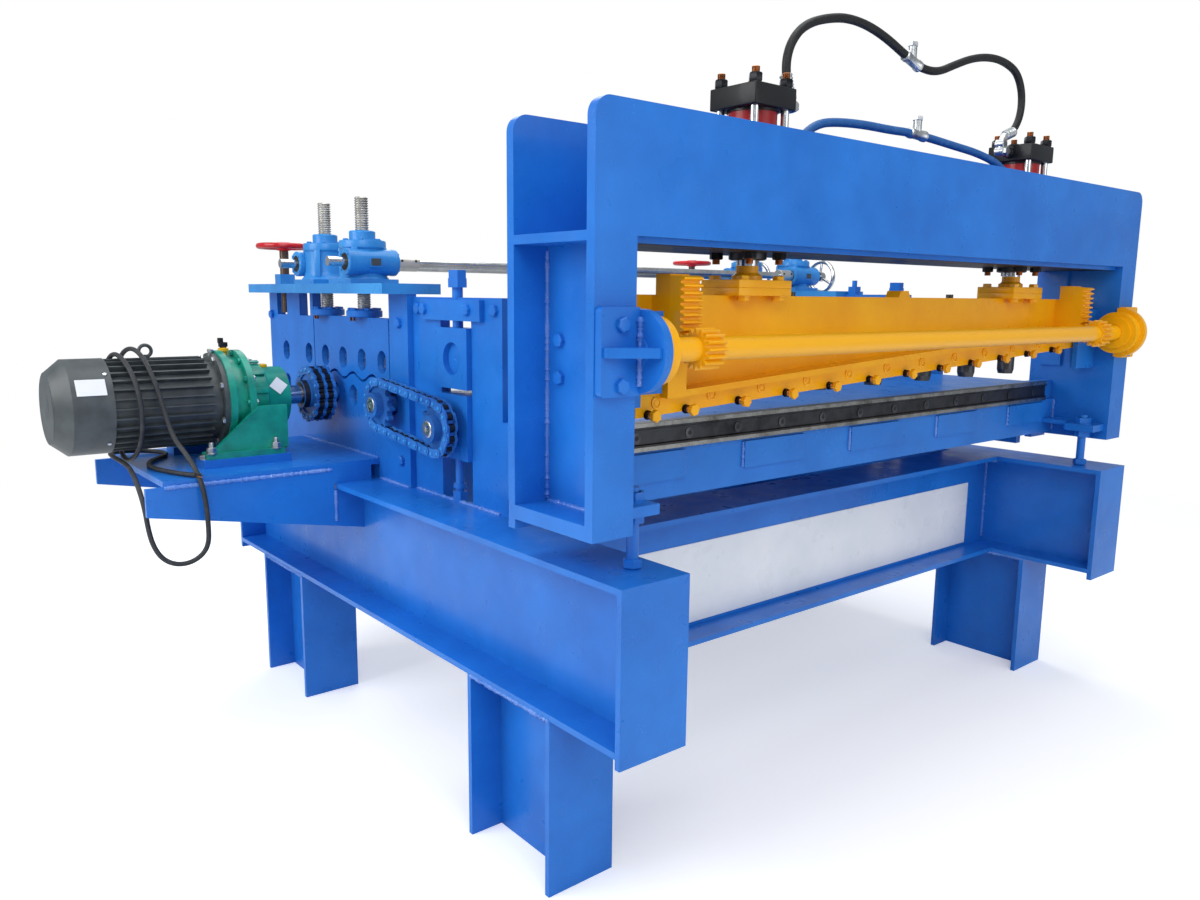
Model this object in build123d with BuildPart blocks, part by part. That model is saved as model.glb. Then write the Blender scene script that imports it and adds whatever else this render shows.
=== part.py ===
"""Cut-to-length machine: sheet leveller, pinch stand and raked guillotine on a welded H-beam base.

Millimetres, +Z up, +X across the sheet away from the drive motor, +Y against the sheet's travel.
All sizes are written in the machine frame: x = 0 on the centre line, y = 0 on the exit face of the
side beams, z = 0 on the floor. save() shifts each piece so that the origin is the bottom centre.
"""

import os
from math import atan, cos, pi, radians, sin, tan

from build123d import *

os.makedirs("parts", exist_ok=True)

# Base: H-beam section, side beams, legs and cross beams
SECTION_W = 156.0
SECTION_D = 300.0
SECTION_WEB = 8.0
SECTION_FLANGE = 12.0
BEAM_X = 888.0
BEAM_TOP = 656.0
BEAM_LENGTH = 1830.0
END_PLATE_T = 12.0
END_PLATE_DROP = 18.0
LEG_D = 284.0
LEG_FRONT_Y = 340.0
LEG_REAR_Y = 1490.0
CROSS_FRONT_Y = 382.0
CROSS_REAR_Y = 1330.0
SIGN_GAP = 30.0
SIGN_H = 190.0
SIGN_T = 2.0
SIGN_DROP = 34.0

# Portal of the shear
PORTAL_W = 2000.0
PORTAL_TOP = 1430.0
PORTAL_BOTTOM = 731.0
PORTAL_REAR_BOTTOM = 713.0
OPENING_W = 1824.0
OPENING_TOP = 1223.0
PORTAL_PLATE_T = 20.0
PORTAL_FRONT_Y = 36.0
PORTAL_REAR_Y = 256.0
PORTAL_CORNER_R = 30.0
COLUMN_WEB_T = 16.0
FOOT_T = 26.0
DECK_T = 16.0
DECK_TOP = 1229.0
REAR_RAIL_FRONT = 182.0
REAR_RAIL_BACK = 245.0
REAR_RAIL_T = 14.0
RAIL_W = 62.0
RAIL_D = 40.0
RAIL_Y = 91.0
RAIL_BOTTOM = 938.0
RAIL_TOP = 1103.0
RAIL_LIP_W = 50.0
RAIL_LIP_T = 13.0
RAIL_LIP_LIFT = 22.0
SHELF_W = 60.0
SHELF_FRONT = 128.0
SHELF_T = 12.0
SHELF_TOP = 782.0
EAR_L = 70.0
EAR_D = 80.0
EAR_T = 19.0
STUD_D = 22.0
STUD_X = 868.0
STUD_Y = 86.0
STUD_NUT_AF = 36.0
STUD_NUT_H = 18.0
STUD_SPARE = 8.0

# Knife beam, knives and hold-downs
BEAM_WEB_Y = 136.0
BEAM_WEB_T = 36.0
KNIFE_SIDE_GAP = 32.0
KNIFE_BEAM_TOP = 1131.0
RAKE_DEG = 2.78
RAKE_Z = 957.0
HOLDER_T = 26.0
HOLDER_SHORT = 35.0
LEDGE_Z = 1006.0
LEDGE_DEG = 3.3
LEDGE_T = 12.0
LEDGE_OUT = 20.0
LEDGE_SHORT = 65.0
KNIFE_T = 10.0
UPPER_KNIFE_H = 60.0
KNIFE_BELOW = 6.0
UPPER_KNIFE_SHORT = 10.0
LOWER_KNIFE_GAP = 72.0
LOWER_KNIFE_H = 55.0
LOWER_KNIFE_T = 20.0
LOWER_KNIFE_Y = 187.0
GROOVE_D = 4.0
GROOVE_LAND = 12.0
SEAT_LAP = 18.0
PAD_DROP = 6.0
TABLE_TOP = 893.0
TABLE_T = 14.0
TABLE_REAR = 600.0
TABLE_GAP = 5.0
TABLE_RIB_T = 16.0
TABLE_RIB_H = 60.0
SILL_BOTTOM = 740.0
SILL_T = 20.0
SILL_Y = 197.0
PAD_W = 195.0
PAD_H = 56.0
PAD_T = 7.0
PAD_PITCH = 368.0
PADS = 5
STROKE = 105.0
LIFT_LUG_W = 46.0
LIFT_LUG_CUT = 8.0
LIFT_LUG_H = 15.0
SHOE_Y = 90.0
SHOE_T = 36.0
PLUNGER_D = 44.0
PLUNGER_NOSE = 12.0
PLUNGER_TAPER = 3.0
PLUNGER_PITCH = 210.0
PLUNGERS = 7
PLUNGER_BOTTOM = 925.0
PLUNGER_GAP = 5.0
PRESS_BAR_Z = 985.0
PRESS_BAR_H = 20.0
PRESS_BAR_D = 24.0
PRESS_ROD_D = 18.0
PRESS_ROD_X = 315.0
PRESS_ROD_TOP = 1140.0
PRESS_LUG_Z = 1092.0
PRESS_LUG_T = 16.0
PRESS_LUG_W = 50.0
PRESS_BAR_OVER = 40.0

# Rack, pinion and synchronising shaft
MODULE = 4.0
PINION_TEETH = 16
GEAR_W = 46.0
GEAR_X = 764.0
BACKLASH = 0.9
SHAFT_Y = 26.0
SHAFT_Z = 1040.0
SHAFT_D = 42.0
SHAFT_SHORT = 3.0
RACK_TOP = 1167.0
RACK_TEETH = 11
BRACKET_X = 918.0
BRACKET_BASE_W = 80.0
BRACKET_BASE_H = 142.0
BRACKET_T = 16.0
BRACKET_R = 68.0
RIB_T = 16.0
BEARING_R = 57.0
BEARING_T = 28.0
BEARING_HUB_R = 44.0
BEARING_HUB_T = 8.0
RUN_GAP = 0.5

# Hydraulic cylinders and rods
CYL_X = 518.0
CYL_Y = 155.0
CAP_SIZE = 116.0
CAP_H = 40.0
BARREL_H = 209.0
BARREL_D = 94.0
BARREL_BORE = 80.0
TIE_D = 16.0
TIE_INSET = 15.0
TIE_NUT_AF = 26.0
TIE_NUT_H = 17.0
TIE_SPARE = 12.0
ROD_D = 44.0
PISTON_H = 30.0
CLEVIS_W = 152.0
CLEVIS_D = 100.0
CLEVIS_T = 30.0
PORT_D = 22.0
PORT_L = 34.0
HOSE_D = 18.0
CRIMP_D = 25.0
CRIMP_L = 38.0
ELBOW_D = 20.0
ELBOW_RISE = 18.0
ELBOW_GAP = 2.0
TEE_L = 62.0
TEE_BRANCH = 30.0
TEE_CAP_AF = 24.0
BLACK_TEE_AT = 0.52
BLUE_TEE_AT = 0.55

# Leveller
WALL_X = 845.0
WALL_T = 25.0
WALL_FRONT = 933.0
WALL_REAR = 1820.0
WALL_TOP = 1127.0
CHANNEL_FRONT = 1028.0
CHANNEL_REAR = 1490.0
SEAT_TOP = 1067.0
SEAM_Z = 911.0
SEAM_AMP = 9.0
SEAM_GAP = 7.0
SLIDE_GAP = 5.0
ROLL_PITCH = 114.0
ROLL_FIRST = 1015.0
LOWER_ROLLS = 6
UPPER_ROLLS = 4
ROLL_D = 96.0
ROLL_LOWER_Z = 858.0
ROLL_UPPER_Z = 957.0
ROLL_END_GAP = 40.0
ROLL_RING_D = 54.0
ROLL_RING_T = 12.0
JOURNAL_D = 40.0
JOURNAL_SHORT = 15.0
KIDNEY_SPREAD = 10.0
KIDNEY_CLEAR = 4.0
ENTRY_Y = 1698.0
ENTRY_STEP_Y = 1529.0
ENTRY_SCREW_Y = 1719.0
STEP_WINDOW_Y = 1548.0
WINDOW_W = 76.0
WINDOW_H = 64.0
GIB_T = 8.0
GIB_LAP = 12.0
GIB_W = 40.0
GIB_REAR_W = 10.0
GIB_LIFT = 20.0
JACK_PLATE_W = 156.0
JACK_PLATE_T = 25.0
JACK_PLATE_FRONT = 930.0
JACK_PLATE_REAR = 1812.0
JACK_FRONT_Y = 1188.0
JACK_REAR_Y = 1418.0
JACK_BODY_D = 108.0
JACK_BODY_H = 80.0
JACK_BASE = 132.0
JACK_BASE_T = 12.0
JACK_COVER_D = 116.0
JACK_COVER_T = 16.0
JACK_COLLAR_D = 63.0
JACK_COLLAR_H = 25.0
WORM_OFFSET = 40.0
WORM_Z = 1206.0
WORM_TUBE_D = 66.0
WORM_TUBE_L = 136.0
SCREW_D = 35.0
SCREW_TOP = 1370.0
FLANGE_D = 92.0
FLANGE_T = 18.0
CROSS_SHAFT_D = 24.0
COUPLING_D = 40.0
COUPLING_L = 64.0
STUB_L = 46.0
WHEEL_D = 124.0
WHEEL_RIM_D = 14.0
WHEEL_X = 1000.0
WHEEL_DISH = 6.0
WHEEL_HUB_D = 34.0
WHEEL_HUB_T = 22.0
SPOKE_D = 9.0
SPOKES = 3
SPOKE_ROOT = 12.0
SPOKE_TURN = 0.4
RIM_SIDES = 12
ENTRY_WHEEL_D = 158.0
ENTRY_WHEEL_RIM_D = 17.0
ENTRY_WHEEL_Z = 1264.0
ENTRY_SCREW_D = 26.0
ENTRY_SCREW_BOTTOM = 1069.0
ENTRY_NUT = 44.0
ENTRY_NUT_H = 30.0
ENTRY_HUB_D = 38.0
ENTRY_HUB_H = 24.0

# Pinch stand
PINCH_WALL_X = 830.0
PINCH_WALL_T = 25.0
PINCH_TOP = 1121.0
PINCH_STEP_Y = 549.0
PINCH_STEP_Z = 860.0
PINCH_WINDOW = 130.0
PINCH_WINDOW_TOP = 1072.0
BLOCK_GAP = 1.0
BLOCK_PROUD = 12.0
BLOCK_BACK = 10.0
UPPER_BLOCK_BOTTOM = 918.0
UPPER_BLOCK_TOP = 1054.0
LOWER_BLOCK_BOTTOM = 758.0
LOWER_BLOCK_TOP = 905.0
PINCH_UPPER_Z = 985.0
PINCH_LOWER_Z = 830.0
PINCH_ROLL_D = 146.0
PINCH_SHAFT_D = 56.0
BLOCK_BORE = 74.0
PINCH_ROLL_GAP = 35.0
BLOCK_BORE_DEPTH = 14.0
PINCH_SCREW_OUT = 22.0
PINCH_NUT_H = 20.0
BAR_FRONT = 618.0
BAR_REAR = 872.0
BAR_BOTTOM = 1070.0
BAR_TOP = 1116.0
PINCH_SCREW_D = 24.0
PINCH_SCREW_AF = 41.0
LOW_SCREW_D = 20.0
LOW_NUT_AF = 32.0
LOW_NUT_H = 24.0
FOOT_CUT_Z = 40.0
FOOT_CUT_Y = 18.0
STRAP_T = 20.0
STRAP_FRONT = 690.0
STRAP_NUT_Y = 905.0
STRAP_NUT_W = 30.0
STRAP_NUT_H = 27.0
STRAP_STUD_D = 17.0
STRAP_STUD_H = 21.0

# Drive
MOTOR_Y = 1357.0
PLATFORM_FRONT = 1100.0
PLATFORM_REAR = 1590.0
PLATFORM_OUT = 1372.0
PLATFORM_TOP = 708.0
PLATFORM_T = 14.0
RIB_OUT = 1409.0
RIB_END_H = 64.0
RIB_WALL_H = 161.0
RIB_PLATE_T = 12.0
FAN_X0 = 1545.0
FAN_X1 = 1424.0
FAN_R = 113.0
FAN_FACE_R = 84.0
FAN_CHAMFER = 34.0
FIN_END = 1200.0
FRAME_R = 98.0
FINS = 30
FIN_H = 13.0
FIN_T = 3.2
BELL_R = 118.0
BELL_T = 12.0
BOX_X0 = 1290.0
BOX_L = 96.0
BOX_W = 80.0
BOX_H = 84.0
BOX_REACH = 178.0
GLAND_L = 14.0
GLAND_D = 22.0
GLAND_Z = 868.0
GLAND_Y = 1500.0
REDUCER_X0 = 1168.0
REDUCER_FLANGE_R = 124.0
REDUCER_FLANGE_T = 16.0
REDUCER_RING_R = 106.0
REDUCER_X1 = 1105.0
REDUCER_BODY_R = 92.0
REDUCER_X2 = 1064.0
NOSE_R = 77.0
NOSE_X = 1000.0
OUT_SHAFT_D = 50.0
FOOT_X = 1144.0
FOOT_PITCH = 250.0
FOOT_PLATE_T = 14.0
GUSSET_T = 16.0
GUSSET_OVER = 30.0
GUSSET_DROP = 10.0
CRADLE_LAP = 40.0
FOOT_W = 46.0
FOOT_L = 190.0
BAR_W = 64.0
BAR_L = 214.0
BAR_H = 20.0
CHAIN_PITCH = 25.4
CHAIN_PLATE_H = 24.0
CHAIN_PLATE_T = 3.0
CHAIN_INNER_W = 15.8
CHAIN_OUTER_W = 28.0
ROLLER_D = 15.9
COUPLING_TEETH = 16
COUPLING_X0 = 946.0
COUPLING_X1 = 856.0
COUPLING_CHAIN_W = 54.0
COUPLING_PLATE_T = 4.0
SPROCKET_TEETH = 14
SPROCKET_X = 880.0
HUB_D = 62.0
SHAFT_GRIP = 30.0
HUB_OUT = 906.0
STRAND_PITCHES = 11
CABLE_D = 11.0

# Values that follow from the sizes above
BEAM_BOTTOM = BEAM_TOP - SECTION_D
HALF_W = PORTAL_W / 2
OPEN_X = OPENING_W / 2
WEB_IN = OPEN_X
KNIFE_BEAM_X = OPEN_X - KNIFE_SIDE_GAP
HOLDER_X = KNIFE_BEAM_X - HOLDER_SHORT
LEDGE_X = HOLDER_X - LEDGE_SHORT
UPPER_KNIFE_X = HOLDER_X - UPPER_KNIFE_SHORT
LOWER_KNIFE_X = OPEN_X - LOWER_KNIFE_GAP
TABLE_X = PINCH_WALL_X - PINCH_WALL_T - TABLE_GAP
WEB_OUT = OPEN_X + COLUMN_WEB_T
PORTAL_FRONT_BACK = PORTAL_FRONT_Y + PORTAL_PLATE_T
PORTAL_REAR_BACK = PORTAL_REAR_Y + PORTAL_PLATE_T
PITCH_R = MODULE * PINION_TEETH / 2
RACK_PITCH_Y = SHAFT_Y + PITCH_R
KNIFE_BACK_Y = BEAM_WEB_Y + BEAM_WEB_T
PLUNGER_Y = KNIFE_BACK_Y + KNIFE_T + PLUNGER_GAP + PLUNGER_D / 2
ROLL_YS = [ROLL_FIRST + i * ROLL_PITCH for i in range(LOWER_ROLLS)]
UPPER_YS = [ROLL_FIRST + (i + 0.5) * ROLL_PITCH for i in range(UPPER_ROLLS)]
STEP_ROLL_YS = [ENTRY_STEP_Y, ENTRY_Y]
ROLL_FACE_X = WALL_X - WALL_T - ROLL_END_GAP
PINCH_FACE_X = PINCH_WALL_X - PINCH_WALL_T - PINCH_ROLL_GAP
STRAND = STRAND_PITCHES * CHAIN_PITCH
PINCH_Y = ROLL_FIRST - (STRAND ** 2 - (ROLL_LOWER_Z - PINCH_LOWER_Z) ** 2) ** 0.5
SCREW_X = WALL_X - WALL_T / 2
FAR_SHIFT = BEAM_X - SCREW_X
PINCH_X = PINCH_WALL_X - (PINCH_WALL_T - BLOCK_PROUD) / 2
SPROCKET_PD = CHAIN_PITCH / sin(pi / SPROCKET_TEETH)
COUPLING_PD = CHAIN_PITCH / sin(pi / COUPLING_TEETH)
JACK_TOP = WALL_TOP + JACK_PLATE_T
X_MID = (max(WHEEL_X + WHEEL_DISH + WHEEL_RIM_D / 2, HALF_W) - FAN_X0) / 2
Y_MID = (BEAM_LENGTH + SHAFT_Y - BRACKET_R) / 2


def save(part, name):
    """Shift a finished piece to the library origin, name it and write its STEP file."""
    moved = part.moved(Location((-X_MID, -Y_MID, 0)))
    moved.label = name
    export_step(moved, f"parts/{name}.step")


def wall_x(side, x):
    """Signed x on a leveller wall: the far walls stand over the middle of their side beam."""
    return side * x + (FAR_SHIFT if side > 0 else 0)


def on_wall(part, side):
    """Carry a far wall piece out to the middle of its side beam."""
    return part.moved(Location((FAR_SHIFT, 0, 0))) if side > 0 else part


def block(x0, x1, y0, y1, z0, z1, mode=Mode.ADD):
    """Axis-parallel block between two corners."""
    with Locations(((x0 + x1) / 2, (y0 + y1) / 2, (z0 + z1) / 2)):
        Box(abs(x1 - x0), abs(y1 - y0), abs(z1 - z0), mode=mode)


def rod(x, y, z0, z1, dia, mode=Mode.ADD):
    """Upright round bar or bore."""
    with Locations((x, y, (z0 + z1) / 2)):
        Cylinder(dia / 2, abs(z1 - z0), mode=mode)


def shaft(x0, x1, y, z, dia, mode=Mode.ADD):
    """Round bar or bore along X."""
    with Locations(((x0 + x1) / 2, y, z)):
        Cylinder(dia / 2, abs(x1 - x0), rotation=(0, 90, 0), mode=mode)


def hexagon(x, y, z0, z1, across, mode=Mode.ADD):
    """Upright hexagonal nut or head."""
    with BuildSketch(Plane((x, y, z0))) as outline:
        RegularPolygon(across / 2, 6, major_radius=False)
    extrude(outline.sketch, amount=z1 - z0, mode=mode)


def h_section(width, depth):
    """Sketch of a rolled H section, web along local Y."""
    Rectangle(width, depth)
    with Locations((width / 2, 0), (-width / 2, 0)):
        Rectangle(width - SECTION_WEB, depth - 2 * SECTION_FLANGE, mode=Mode.SUBTRACT)


def side_frame(side):
    """Side beam with end plates and its two legs, one weldment."""
    with BuildPart() as frame:
        y0, y1 = END_PLATE_T, BEAM_LENGTH - END_PLATE_T
        z_mid = BEAM_TOP - SECTION_D / 2
        with BuildSketch(Plane((side * BEAM_X, y1, z_mid), x_dir=(1, 0, 0), z_dir=(0, -1, 0))):
            h_section(SECTION_W, SECTION_D)
        extrude(amount=y1 - y0)
        for y in (0, BEAM_LENGTH - END_PLATE_T):
            block(side * BEAM_X - SECTION_W / 2, side * BEAM_X + SECTION_W / 2,
                  y, y + END_PLATE_T, BEAM_BOTTOM - END_PLATE_DROP, BEAM_TOP)
        for y in (LEG_FRONT_Y, LEG_REAR_Y):
            with BuildSketch(Plane((side * BEAM_X, y, 0))):
                h_section(SECTION_W, LEG_D)
            extrude(amount=BEAM_BOTTOM)
    return frame.part


def cross_beam(y):
    """Cross beam: coped H section whose web runs on to the side beams' webs."""
    with BuildPart() as beam:
        half = BEAM_X - SECTION_W / 2
        z_mid = BEAM_TOP - SECTION_D / 2
        with BuildSketch(Plane((-half, y, z_mid), x_dir=(0, 1, 0), z_dir=(1, 0, 0))):
            h_section(SECTION_W, SECTION_D)
        extrude(amount=2 * half)
        reach = BEAM_X - SECTION_WEB / 2
        clear = SECTION_FLANGE
        block(-reach, reach, y - SECTION_WEB / 2, y + SECTION_WEB / 2,
              BEAM_BOTTOM + clear, BEAM_TOP - clear)
    return beam.part


def portal_plate(y, bottom):
    """Portal plate cut from one sheet: two legs and a deep header with rounded top corners."""
    with BuildPart() as plate:
        with BuildSketch(Plane((0, y, 0), x_dir=(1, 0, 0), z_dir=(0, -1, 0))) as outline:
            with Locations((0, (PORTAL_TOP + bottom) / 2)):
                Rectangle(PORTAL_W, PORTAL_TOP - bottom)
            fillet(outline.vertices().group_by(Axis.Y)[-1], PORTAL_CORNER_R)
            with Locations((0, OPENING_TOP - PORTAL_TOP / 2)):
                Rectangle(OPENING_W, PORTAL_TOP, mode=Mode.SUBTRACT)
        extrude(amount=-PORTAL_PLATE_T)
    return plate.part


def portal_column(side):
    """Column web with foot plate, ear for the levelling stud, sill shelf and the knife beam's rails."""
    s = side
    with BuildPart() as column:
        block(s * WEB_IN, s * WEB_OUT, PORTAL_FRONT_BACK, PORTAL_REAR_Y,
              PORTAL_BOTTOM, DECK_TOP - DECK_T)
        block(s * WEB_OUT, s * HALF_W, PORTAL_FRONT_BACK, PORTAL_REAR_Y,
              PORTAL_BOTTOM, PORTAL_BOTTOM + FOOT_T)
        ear_z = PORTAL_BOTTOM + FOOT_T
        block(s * (WEB_IN - EAR_L), s * WEB_IN, STUD_Y - EAR_D / 2, STUD_Y + EAR_D / 2,
              ear_z, ear_z + EAR_T)
        rod(s * STUD_X, STUD_Y, ear_z, ear_z + EAR_T, STUD_D + 2 * RUN_GAP, Mode.SUBTRACT)
        block(s * (WEB_IN - SHELF_W), s * WEB_IN, SHELF_FRONT, SILL_Y, SHELF_TOP - SHELF_T, SHELF_TOP)
        block(s * (WEB_IN - RAIL_W), s * WEB_IN, RAIL_Y, RAIL_Y + RAIL_D, RAIL_BOTTOM, RAIL_TOP)
        lip_z = RAIL_BOTTOM if s > 0 else RAIL_BOTTOM + RAIL_LIP_LIFT
        block(s * (WEB_IN - RAIL_W - RAIL_LIP_W), s * (WEB_IN - RAIL_W), RAIL_Y, RAIL_Y + RAIL_LIP_T,
              lip_z, RAIL_TOP)
        block(s * (WEB_IN - REAR_RAIL_T), s * WEB_IN, REAR_RAIL_FRONT, REAR_RAIL_BACK,
              RAIL_BOTTOM, DECK_TOP - DECK_T)
    return column.part


def cylinder_deck():
    """Deck between the portal plates with a clearance hole for each piston rod."""
    with BuildPart() as deck:
        block(-HALF_W, HALF_W, PORTAL_FRONT_BACK, PORTAL_REAR_Y, DECK_TOP - DECK_T, DECK_TOP)
        for s in (-1, 1):
            rod(s * CYL_X, CYL_Y, DECK_TOP - DECK_T, DECK_TOP, ROD_D + 6, Mode.SUBTRACT)
    return deck.part


def levelling_studs():
    """Two studs that stand on the side beams, each with a nut below and above its ear."""
    with BuildPart() as studs:
        for s in (-1, 1):
            x = s * STUD_X
            ear = PORTAL_BOTTOM + FOOT_T
            rod(x, STUD_Y, BEAM_TOP, ear + EAR_T + STUD_NUT_H + STUD_SPARE, STUD_D)
            hexagon(x, STUD_Y, ear + EAR_T, ear + EAR_T + STUD_NUT_H, STUD_NUT_AF)
            hexagon(x, STUD_Y, ear - STUD_NUT_H, ear, STUD_NUT_AF)
    return studs.part


def shaft_bracket(side):
    """Bearing bracket: bolted base, D-shaped cheek and a gusset."""
    s = side
    with BuildPart() as bracket:
        base_back = PORTAL_FRONT_Y
        base_front = base_back - BRACKET_T
        with BuildSketch(Plane((0, base_back, 0), x_dir=(1, 0, 0), z_dir=(0, -1, 0))) as base:
            with Locations((s * (BRACKET_X + BRACKET_BASE_W / 2), SHAFT_Z)):
                Rectangle(BRACKET_BASE_W, BRACKET_BASE_H)
            corners = base.vertices().sort_by(Axis.X)
            fillet(corners[:2] if s < 0 else corners[-2:], 8)
        extrude(amount=BRACKET_T)
        with BuildSketch(Plane((s * BRACKET_X, 0, 0), x_dir=(0, 1, 0), z_dir=(1, 0, 0))):
            with Locations((SHAFT_Y, SHAFT_Z)):
                Circle(BRACKET_R)
            with Locations((SHAFT_Y + BRACKET_R, SHAFT_Z)):
                Rectangle(2 * BRACKET_R, 2 * BRACKET_R + 2, mode=Mode.SUBTRACT)
            with Locations(((SHAFT_Y + base_back) / 2, SHAFT_Z)):
                Rectangle(base_back - SHAFT_Y, 2 * BRACKET_R)
        extrude(amount=-s * BRACKET_T)
        with BuildSketch(Plane((0, 0, SHAFT_Z - RIB_T / 2))):
            with BuildLine():
                tip = SHAFT_Y - BRACKET_R + 8
                Polyline((s * BRACKET_X, base_front), (s * BRACKET_X, tip),
                         (s * (BRACKET_X + 6), tip),
                         (s * (BRACKET_X + BRACKET_BASE_W - 4), base_front - 8),
                         (s * (BRACKET_X + BRACKET_BASE_W - 4), base_front), close=True)
            make_face()
        extrude(amount=RIB_T)
        shaft(s * (BRACKET_X - BRACKET_T), s * BRACKET_X, SHAFT_Y, SHAFT_Z,
              SHAFT_D + 2 * RUN_GAP, Mode.SUBTRACT)
    return bracket.part


def shaft_bearings():
    """Flanged bearing housings on the inner side of both brackets."""
    with BuildPart() as bearings:
        for s in (-1, 1):
            x1 = BRACKET_X - BRACKET_T
            shaft(s * (x1 - BEARING_T), s * x1, SHAFT_Y, SHAFT_Z, 2 * BEARING_R)
            shaft(s * (x1 - BEARING_T - BEARING_HUB_T), s * x1, SHAFT_Y, SHAFT_Z, 2 * BEARING_HUB_R)
            shaft(s * (x1 - BEARING_T - BEARING_HUB_T), s * x1, SHAFT_Y, SHAFT_Z,
                  SHAFT_D + 2 * RUN_GAP, Mode.SUBTRACT)
    return bearings.part


def involute_points(pitch_r, teeth):
    """Half-tooth flank of a pinion as (radius, half angle), thinned by the backlash."""
    base_r = pitch_r * cos(radians(20))
    half = pi / (2 * teeth) - BACKLASH / (2 * pitch_r) + (tan(radians(20)) - radians(20))
    points = []
    for k in range(4):
        r = max(base_r, pitch_r - 0.9 * MODULE) + k * (
            pitch_r + MODULE - max(base_r, pitch_r - 0.9 * MODULE)) / 3
        a = (max((r / base_r) ** 2 - 1, 0)) ** 0.5
        points.append((r, half - (a - atan(a))))
    return points


def pinion_sketch(centre, turn):
    """Closed outline of the pinion with its first tooth turned by the given angle."""
    root = PITCH_R - 1.25 * MODULE
    flank = involute_points(PITCH_R, PINION_TEETH)
    points = []
    for i in range(PINION_TEETH):
        a0 = turn + 2 * pi * i / PINION_TEETH
        side_a = [(root, flank[0][1] + 0.02)] + flank
        for r, half in side_a:
            points.append((r, a0 - half))
        for r, half in reversed(side_a):
            points.append((r, a0 + half))
    with BuildLine() as edge:
        Polyline([(centre[0] + r * cos(a), centre[1] + r * sin(a)) for r, a in points], close=True)
    make_face(edge.edges())


def sync_shaft():
    """Shaft that keeps both ends of the knife beam level, with its two pinions."""
    with BuildPart() as whole:
        end = OPEN_X - SHAFT_SHORT
        shaft(-end, end, SHAFT_Y, SHAFT_Z, SHAFT_D)
        for s in (-1, 1):
            x0 = s * GEAR_X - GEAR_W / 2
            with BuildSketch(Plane((x0, 0, 0), x_dir=(0, 1, 0), z_dir=(1, 0, 0))):
                pinion_sketch((SHAFT_Y, SHAFT_Z), 0.0)
            extrude(amount=GEAR_W)
    return whole.part


def racks():
    """Toothed racks on the shoes, a tooth gap level with the shaft where the knife beam stands."""
    pitch = pi * MODULE
    tip = RACK_PITCH_Y - MODULE
    root = RACK_PITCH_Y + 1.25 * MODULE
    slope = tan(radians(20))
    half_mid = pitch / 4 - BACKLASH / 2
    points = []
    for i in range(RACK_TEETH):
        middle = SHAFT_Z + (i - 0.5) * pitch
        for dz, y in ((-half_mid - 1.25 * MODULE * slope, root), (-half_mid + MODULE * slope, tip),
                      (half_mid - MODULE * slope, tip), (half_mid + 1.25 * MODULE * slope, root)):
            points.append((y, middle + dz))
    outline = [(SHOE_Y, points[0][1])] + points + [(SHOE_Y, points[-1][1])]
    with BuildPart() as pair:
        for s in (-1, 1):
            x0 = s * GEAR_X - GEAR_W / 2
            with BuildSketch(Plane((x0, 0, 0), x_dir=(0, 1, 0), z_dir=(1, 0, 0))):
                with BuildLine():
                    Polyline(outline, close=True)
                make_face()
            extrude(amount=GEAR_W)
    return pair.part


def rake(x):
    """Height of the holder's raked lower edge."""
    return RAKE_Z + x * tan(radians(RAKE_DEG))


def ledge(x):
    """Height of the ledge that stiffens the holder."""
    return LEDGE_Z + x * tan(radians(LEDGE_DEG))


def knife_beam():
    """Yellow knife beam: web plate, raked holder, ledge, rack shoes, lifting lug, press-rod lugs."""
    front = Plane((0, BEAM_WEB_Y, 0), x_dir=(1, 0, 0), z_dir=(0, -1, 0))
    lug = LIFT_LUG_W / 2
    with BuildPart() as beam:
        with BuildSketch(front):
            with BuildLine():
                Polyline((-KNIFE_BEAM_X, rake(-KNIFE_BEAM_X)), (KNIFE_BEAM_X, rake(KNIFE_BEAM_X)),
                         (KNIFE_BEAM_X, KNIFE_BEAM_TOP), (lug, KNIFE_BEAM_TOP),
                         (lug - LIFT_LUG_CUT, KNIFE_BEAM_TOP + LIFT_LUG_H),
                         (-lug + LIFT_LUG_CUT, KNIFE_BEAM_TOP + LIFT_LUG_H),
                         (-lug, KNIFE_BEAM_TOP), (-KNIFE_BEAM_X, KNIFE_BEAM_TOP), close=True)
            make_face()
        extrude(amount=-BEAM_WEB_T)
        with BuildSketch(front):
            with BuildLine():
                Polyline((-HOLDER_X, rake(-HOLDER_X)), (HOLDER_X, rake(HOLDER_X)),
                         (HOLDER_X, ledge(HOLDER_X)), (-HOLDER_X, ledge(-HOLDER_X)), close=True)
            make_face()
        extrude(amount=HOLDER_T)
        with BuildSketch(front):
            with BuildLine():
                Polyline((-LEDGE_X, ledge(-LEDGE_X) - LEDGE_T), (LEDGE_X, ledge(LEDGE_X) - LEDGE_T),
                         (LEDGE_X, ledge(LEDGE_X)), (-LEDGE_X, ledge(-LEDGE_X)), close=True)
            make_face()
        extrude(amount=HOLDER_T + LEDGE_OUT)
        for s in (-1, 1):
            x0, x1 = s * GEAR_X - GEAR_W / 2, s * GEAR_X + GEAR_W / 2
            block(x0, x1, SHOE_Y, BEAM_WEB_Y, ledge(s * GEAR_X) - LEDGE_T, KNIFE_BEAM_TOP)
            block(x0, x1, SHOE_Y, SHOE_Y + SHOE_T, KNIFE_BEAM_TOP, RACK_TOP)
            x = s * PRESS_ROD_X
            block(x - PRESS_LUG_W / 2, x + PRESS_LUG_W / 2, KNIFE_BACK_Y, PLUNGER_Y + PRESS_BAR_D / 2,
                  PRESS_LUG_Z, PRESS_LUG_Z + PRESS_LUG_T)
            rod(x, PLUNGER_Y, PRESS_LUG_Z, PRESS_LUG_Z + PRESS_LUG_T,
                PRESS_ROD_D + 2 * RUN_GAP, Mode.SUBTRACT)
    return beam.part


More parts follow.
